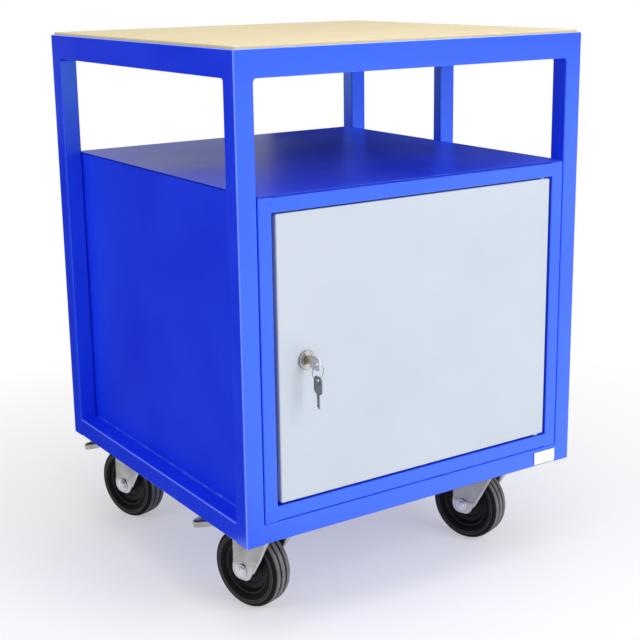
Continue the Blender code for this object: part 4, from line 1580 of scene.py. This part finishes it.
    def axle(self) -> Surface:
        """Axle with a washer, a hex nut and a bare tip on each side.

        Returns:
            The axle in its place, painted near the light tone all over as a painted highlight.
        """
        # bright is the share of the light tone over the whole axle, a painted highlight.
        slack, bright = 0.0002, 0.8
        seat = self.inner + self.sheet + self.joggle + slack
        washer = revolve(path(
            (0.0, 0.0), (0.0098, 0.0), (0.0104, 0.0004), (0.0104, 0.0009), (0.0099, 0.0013),
            (0.0, 0.0013),
        ), 48)
        end = washer + hexagon(0.0072, 0.0036).moved((0, 0, 0.0012))
        tip = revolve(path(
            (0.0, 0.0046), (0.0046, 0.0046), (0.0046, 0.0052), (0.0036, 0.0058), (0.0, 0.0058),
        ), 32)
        bar = rod(self.pin, -seat, seat)
        right = (end + tip).moved((0, 0, seat))
        left = (end + tip).turned(math.pi, Axis.X).moved((0, 0, -seat))
        joined = bar + left + right
        return self.placed(self.on_axle(joined.with_wear_and_highlight(np.full(len(joined.points), bright))))

    def brake(self) -> Surface:
        """Pressed pedal: an inverted U carried along Y that closes in a half circle at the tip.

        The flanges grow from the arm to the tray, and the tray's top has low ridges across it. The
        slope goes from the arm's to the tray's by a soft step, and the path is the running sum of
        its sine and cosine.

        Returns:
            The pedal with its barrel, in its place.
        """
        joint = JOINTS[f"{self.name}_brake_press"]
        back = float(np.linalg.norm(np.array(joint["pos_m"])[:2] - self.foot[:2]))
        wall, half, least = self.pedal_wall, self.pedal / 2, 0.0006
        tilt, steep = math.radians(self.tilt), math.radians(self.tilt + self.droop)
        start = (self.reach - back - self.tray * math.cos(steep)) / math.cos(tilt)
        long = start + self.tray
        tip = long - half
        reach = half - wall / 2
        rounded = tip + reach * np.sin(np.linspace(0, 1.50, 14)[1:])
        run = np.concatenate([np.linspace(0.0, tip, 40), rounded])
        wide = np.sqrt(np.maximum(reach ** 2 - np.clip(run - tip, 0, None) ** 2, 0.0008 ** 2))
        skirt = least + (self.skirt - wall - least) * smooth(run, start - 0.030, start + 0.008)
        soft = np.minimum(np.minimum(0.0028, 0.8 * wide), skirt)
        arc = np.linspace(0, np.pi / 2, 6)
        across = np.concatenate([
            wide[:, None] + 0 * arc[:2], wide[:, None] - soft[:, None] * (1 - np.cos(arc[1:])),
            (wide - soft)[:, None] * np.array([0.66, 0.33]),
        ], 1)
        drop = np.concatenate([
            -skirt[:, None] * np.array([1.0, 0.5]), -soft[:, None] * (1 - np.sin(arc[1:])),
            np.zeros((len(run), 2)),
        ], 1)
        pitch, high = self.ridge
        ridge = np.cos((run - start - pitch) * 2 * np.pi / pitch)
        ridge *= smooth(run, start + 0.003, start + 0.009)
        ridge *= high * (1 - smooth(run, tip - 0.001, tip + 0.006))
        crest = ridge[:, None] * smooth(drop, -0.0010, -0.0002)
        level = drop + crest
        level = np.concatenate([level, level[:, -1:], level[:, ::-1]], 1)
        slope = tilt + (steep - tilt) * smooth(run, start - 0.006, start + 0.006)
        step = np.diff(run, prepend=0.0)
        middle = (slope + np.concatenate([slope[:1], slope[:-1]])) / 2
        ahead = np.cumsum(step * np.cos(middle))[:, None]
        fall = np.cumsum(step * np.sin(middle))[:, None]
        grid = np.stack([
            np.concatenate([across, 0 * across[:, :1], -across[:, ::-1]], 1),
            ahead + level * np.sin(slope)[:, None], level * np.cos(slope)[:, None] - fall,
        ], -1)
        tray = thickened(grid, wall)
        barrel = revolve(path(
            (0.0, -0.0242), (0.0025, -0.0242), (0.0025, -0.0205), (0.0040, -0.0205),
            (0.0040, 0.0205), (0.0025, 0.0205), (0.0025, 0.0242), (0.0, 0.0242),
        ), 32).along(Axis.X)
        return self.placed((tray + barrel).moved((0, back, joint["pos_m"][2])))

    def corner_plate(self) -> Surface:
        """Five-sided plate welded into the corner between two bottom rails.

        Its outline, from the post's inner corner, is carried up by the plate's thickness.

        Returns:
            The closed plate.
        """
        signs = np.array(CORNERS[self.corner])
        low, high = span(f"post_{self.corner}")
        near = np.where(signs > 0, low[:2], high[:2]) - SEAM * signs
        side, cut = self.gusset
        outline = near - signs * np.array([(0, 0), (side, 0), (side, cut), (cut, side), (0, side)])
        bottom = self.plate_bottom + self.plate_sheet + SEAM
        level = np.array([bottom, bottom + self.gusset_sheet])[:, None, None]
        rise = np.broadcast_to(level, (2, len(outline), 1))
        grid = np.concatenate([np.repeat(outline[None], 2, 0), rise], -1)
        return lattice(grid, wrap_v=True, cap=True)

    def bolts(self) -> Surface:
        """Four bolts with washers that hold the top plate from below, each turned about its axis.

        Returns:
            The bolts in their places.
        """
        proud, (wide, long) = 0.004, self.bolt
        end = self.plate_sheet + SEAM + self.gusset_sheet + proud
        head = hexagon(0.0062, 0.0042).turned(math.pi, Axis.X).moved((0, 0, -0.0011))
        washer = revolve(path(
            (0.0, -0.0012), (0.0078, -0.0012), (0.0081, -0.0008), (0.0081, 0.0), (0.0, 0.0),
        ), 32)
        shank = revolve(path(
            (0.0, 0.0), (0.004, 0.0), (0.004, end - 0.0006), (0.0034, end), (0.0, end),
        ), 24)
        bolt = (head + washer + shank).moved(self.foot + np.array([0, 0, self.plate_bottom]))
        pair = bolt.moved((0, -long, 0)) + bolt.moved((0, long, 0))
        return pair.moved((-wide, 0, 0)) + pair.moved((wide, 0, 0))

    def build(self) -> None:
        """Makes every piece of the castor."""
        name, roller = self.name, f"{self.name}_roller"
        add_piece(
            f"{name}_corner_sheet", self.corner_plate(), Dress.BLUE, "bench",
            [f"corner_plate_{self.corner}"], rim=self.rim,
        )
        add_piece(f"{name}_bolts", self.bolts(), Dress.BOLT, "bench")
        add_piece(f"{name}_top_plate", self.plate(), Dress.ZINC, "bench", [f"{name}_plate"])
        add_piece(
            f"{name}_pressed_fork", self.fork(), Dress.ZINC, name, [f"{name}_fork"],
            self.crease, self.rim,
        )
        add_piece(f"{name}_lower_race", self.races(), Dress.ZINC, name)
        add_piece(f"{name}_axle_bolt", self.axle(), Dress.BOLT, name, [f"{name}_axle"])
        core, tyre = self.placed(self.core()), self.placed(self.tyre())
        add_piece(f"{name}_wheel_centre", core, Dress.PLASTIC, roller, [f"{name}_wheel"])
        add_piece(f"{name}_ribbed_tyre", tyre, Dress.RUBBER, roller, [f"{name}_tyre"])
        if self.braked:
            add_piece(
                f"{name}_brake_pedal", self.brake(), Dress.ZINC, f"{name}_brake", [f"{name}_pedal"],
                self.crease, self.pedal_rim,
            )


@dataclass
class Label:
    """Bare white plate at the right end of the front bottom rail.

    Attributes:
        start: Distance of its left edge from the bench's left side.
        size: Width and height.
        thick: Thickness.
        lift: Height of its lower edge above the rail's underside.
        edge: Radius of its edges.
        corner: Radius of its corners.
    """

    start: float = 0.539
    size: Pair = (0.044, 0.0215)
    thick: float = 0.0006
    lift: float = 0.0023
    edge: float = 0.0002
    corner: float = 0.0012

    def build(self) -> None:
        """Makes the plate."""
        left = span("post_front_left")[0][0]
        low, _ = span("bottom_rail_front")
        near = np.array([left + self.start, low[1] - self.thick, low[2] + self.lift])
        far = near + np.array([self.size[0], self.thick, self.size[1]])
        plate = slab(near, far, Axis.Y, self.edge, self.corner)
        add_piece("bare_label", plate, Dress.WHITE, "bench")


@dataclass
class Studio:
    """Floor, lamps, world and the camera at the photograph's angle.

    Attributes:
        place: Place of the camera.
        yaw: Turn of the view from straight ahead, in degrees.
        pitch: Tilt of the view downward, in degrees.
        roll: Roll of the camera, in degrees.
        lens: Focal length in millimetres.
        sensor: Width of its frame in millimetres.
        shift: Shift of the frame upward, as a share of its width.
        ambient: Strength of the world's light.
        rings: Radii of the floor's rings.
        drop: How far the floor lies under the tyres.
        fade: Distances between which the floor turns white.
        pale: Share of white before that.
        cards: Radius at which the cards stand.
    """

    place: Triple = (-1.14261, -1.76856, 0.94231)
    yaw: float = 33.459
    pitch: float = 13.735
    roll: float = -0.801
    lens: float = 73.03
    sensor: float = 36.0
    shift: float = -0.05
    ambient: float = 0.55
    rings: Sequence[float] = (0.0, 0.5, 1.0, 2.0, 4.0, 9.0, 20.0)
    drop: float = 0.0004
    fade: Pair = (0.35, 1.2)
    pale: float = 0.4
    cards: float = 0.95

    def camera(self) -> None:
        """Makes the camera from its yaw, pitch and roll."""
        data = bpy.data.cameras.new("photo_camera")
        data.lens = self.lens
        data.sensor_width = self.sensor
        data.shift_y = self.shift
        camera = linked("photo_camera", data)
        turn = (
            Matrix.Rotation(math.radians(-self.yaw), 4, "Z")
            @ Matrix.Rotation(math.radians(90.0 - self.pitch), 4, "X")
            @ Matrix.Rotation(math.radians(self.roll), 4, "Z")
        )
        camera.matrix_world = Matrix.Translation(self.place) @ turn
        bpy.context.scene.camera = camera

    def lamp(self, name: str, place: Triple, aim: Triple, size: float, power: float) -> None:
        """Adds a square lamp that leaves no glare on flat paint.

        Args:
            name: Name of the lamp.
            place: Where it stands.
            aim: What it looks at.
            size: Its side.
            power: Its power in watts.
        """
        data = bpy.data.lights.new(name, "AREA")
        data.size = size
        data.energy = power
        lamp = linked(name, data)
        lamp.visible_glossy = False
        eye = np.asarray(place, float)
        away = eye - np.asarray(aim, float)
        away /= np.linalg.norm(away)
        right = np.cross((0, 0, 1), away)
        right /= np.linalg.norm(right)
        up = np.cross(away, right)
        turn = np.eye(4)
        turn[:3] = np.stack([right, up, away, eye], 1)
        lamp.matrix_world = Matrix(turn.tolist())

    def world(self) -> None:
        """White behind the object and in reflections, softer light on everything else."""
        world = bpy.data.worlds.new("white_room")
        world.use_nodes = True
        bpy.context.scene.world = world
        room = Nodes(world.node_tree)
        room.tree.nodes.clear()
        soft = room.node("ShaderNodeBackground", {"Color": WHITE, "Strength": self.ambient})
        plain = room.node("ShaderNodeBackground", {"Color": WHITE, "Strength": 1.0})
        light = room.blend(room.seen(), soft.outputs[0], plain.outputs[0])
        room.node("ShaderNodeOutputWorld", {0: light})

    def floor(self) -> None:
        """Round pale floor that keeps the shadow near the bench.

        It turns white further out, and is clear from below.
        """
        steps = 96
        angle = np.arange(steps) * 2 * np.pi / steps
        radius = np.array(self.rings)[:, None]
        level = 0 * radius * angle - self.drop
        grid = np.stack([radius * np.cos(angle), radius * np.sin(angle), level], -1)
        mesh = raw_mesh("pale_floor", lattice(grid, wrap_v=True).flipped())
        shader = Shader("pale_floor")
        inputs = shader.surface.inputs
        tone = shader.ramp(shader.noise(0.4, 3.0), (0.86, 0.86, 0.86), (0.88, 0.88, 0.88))
        shader.feed(inputs["Base Color"], tone)
        inputs["Roughness"].default_value = 0.9
        inputs["Specular IOR Level"].default_value = 0.0
        away = shader.node("ShaderNodeVectorMath", {0: shader.place}, operation="LENGTH")
        near, far = self.fade
        kind = {
            "Value": away.outputs["Value"], "From Min": near, "From Max": far,
            "To Min": self.pale,
        }
        fade = shader.node("ShaderNodeMapRange", kind).outputs[0]
        share = shader.math("MULTIPLY", shader.seen(), fade)
        white = shader.node("ShaderNodeEmission", {"Color": WHITE, "Strength": 1.0}).outputs[0]
        above = shader.blend(share, shader.surface.outputs[0], white)
        under = shader.node("ShaderNodeNewGeometry").outputs["Backfacing"]
        shader.show(shader.blend(under, above, shader.node("ShaderNodeBsdfTransparent").outputs[0]))
        mesh.materials.append(shader.material)
        floor = linked("pale_floor", mesh)

    def card(self, name: str, turn: Pair, level: Pair, tone: Colour, apron: float = 0.0) -> None:
        """Upright card, bent round the bench, that only reflections see.

        An arc about the bench is carried from the apron's inner edge out to the card's foot, then
        up to its top.

        Args:
            name: Name of the card.
            turn: Angles from +X between which it stands, in degrees.
            level: Heights of its lower and its upper edge.
            tone: Light that it sends: near black for a flag, above 1 for a lit strip.
            apron: How far its foot runs inward along the floor.
        """
        foot = bend((0.0, 0.0), 1.0, *turn, 48)
        radius = np.array([self.cards - apron, self.cards, self.cards])[:, None, None]
        levels = np.array([level[0], level[0], level[1]])[:, None, None]
        rise = np.broadcast_to(levels, (3, len(foot), 1))
        mesh = raw_mesh(name, lattice(np.concatenate([radius * foot, rise], -1)))
        card = linked(name, mesh)
        shader = Shader(name)
        weak, strong = (tuple(share * part for part in tone) for share in (0.85, 1.15))
        light = shader.ramp(shader.noise(0.2, 2.0), weak, strong)
        shader.show(shader.node("ShaderNodeEmission", {"Color": light, "Strength": 1.0}).outputs[0])
        mesh.materials.append(shader.material)
        card.visible_camera = False
        card.visible_diffuse = False
        card.visible_transmission = False
        card.visible_shadow = False

    def build(self) -> None:
        """Sets up the view, the floor and the light."""
        bpy.context.scene.view_settings.view_transform = "Standard"
        self.camera()
        self.world()
        self.floor()
        dark = (0.015, 0.015, 0.016)
        self.card("left_flag", (75.0, 215.0), (0.135, 0.60), dark, 0.635)
        self.card("upper_flag", (117.0, 190.0), (0.60, 1.1), dark)
        self.card("rear_flag", (20.0, 62.0), (0.001, 1.1), dark)
        self.card("right_flag", (319.0, 342.0), (0.56, 0.95), dark)
        self.card("grey_wall", (62.0, 94.0), (0.60, 1.2), (0.55, 0.50, 0.34))
        self.card("front_glow", (262.0, 325.0), (0.02, 0.80), (1.75, 1.75, 1.75), 0.45)
        self.card("top_strip", (-40.0, 20.0), (1.7, 2.8), (10.0, 10.0, 10.0))
        self.lamp("key_lamp", (1.3, -3.2, 2.4), (0.0, 0.0, 0.45), 1.8, 75.0)
        self.lamp("top_lamp", (-0.4, -0.6, 3.2), (0.0, 0.0, 0.6), 2.0, 30.0)
        self.lamp("left_lamp", (-2.6, -0.3, 1.3), (0.0, 0.0, 0.45), 1.4, 15.0)


def main() -> None:
    """Builds the studio and every sub-assembly in order."""
    logging.basicConfig(level=logging.INFO, format="%(message)s")
    for part in (Studio(), TubeFrame(), Worktop(), Cabinet(), Door(), Lock()):
        part.build()
    for corner, (across, _) in CORNERS.items():
        Castor(corner, braked=across < 0).build()
    Label().build()


if __name__ == "__main__":
    main()
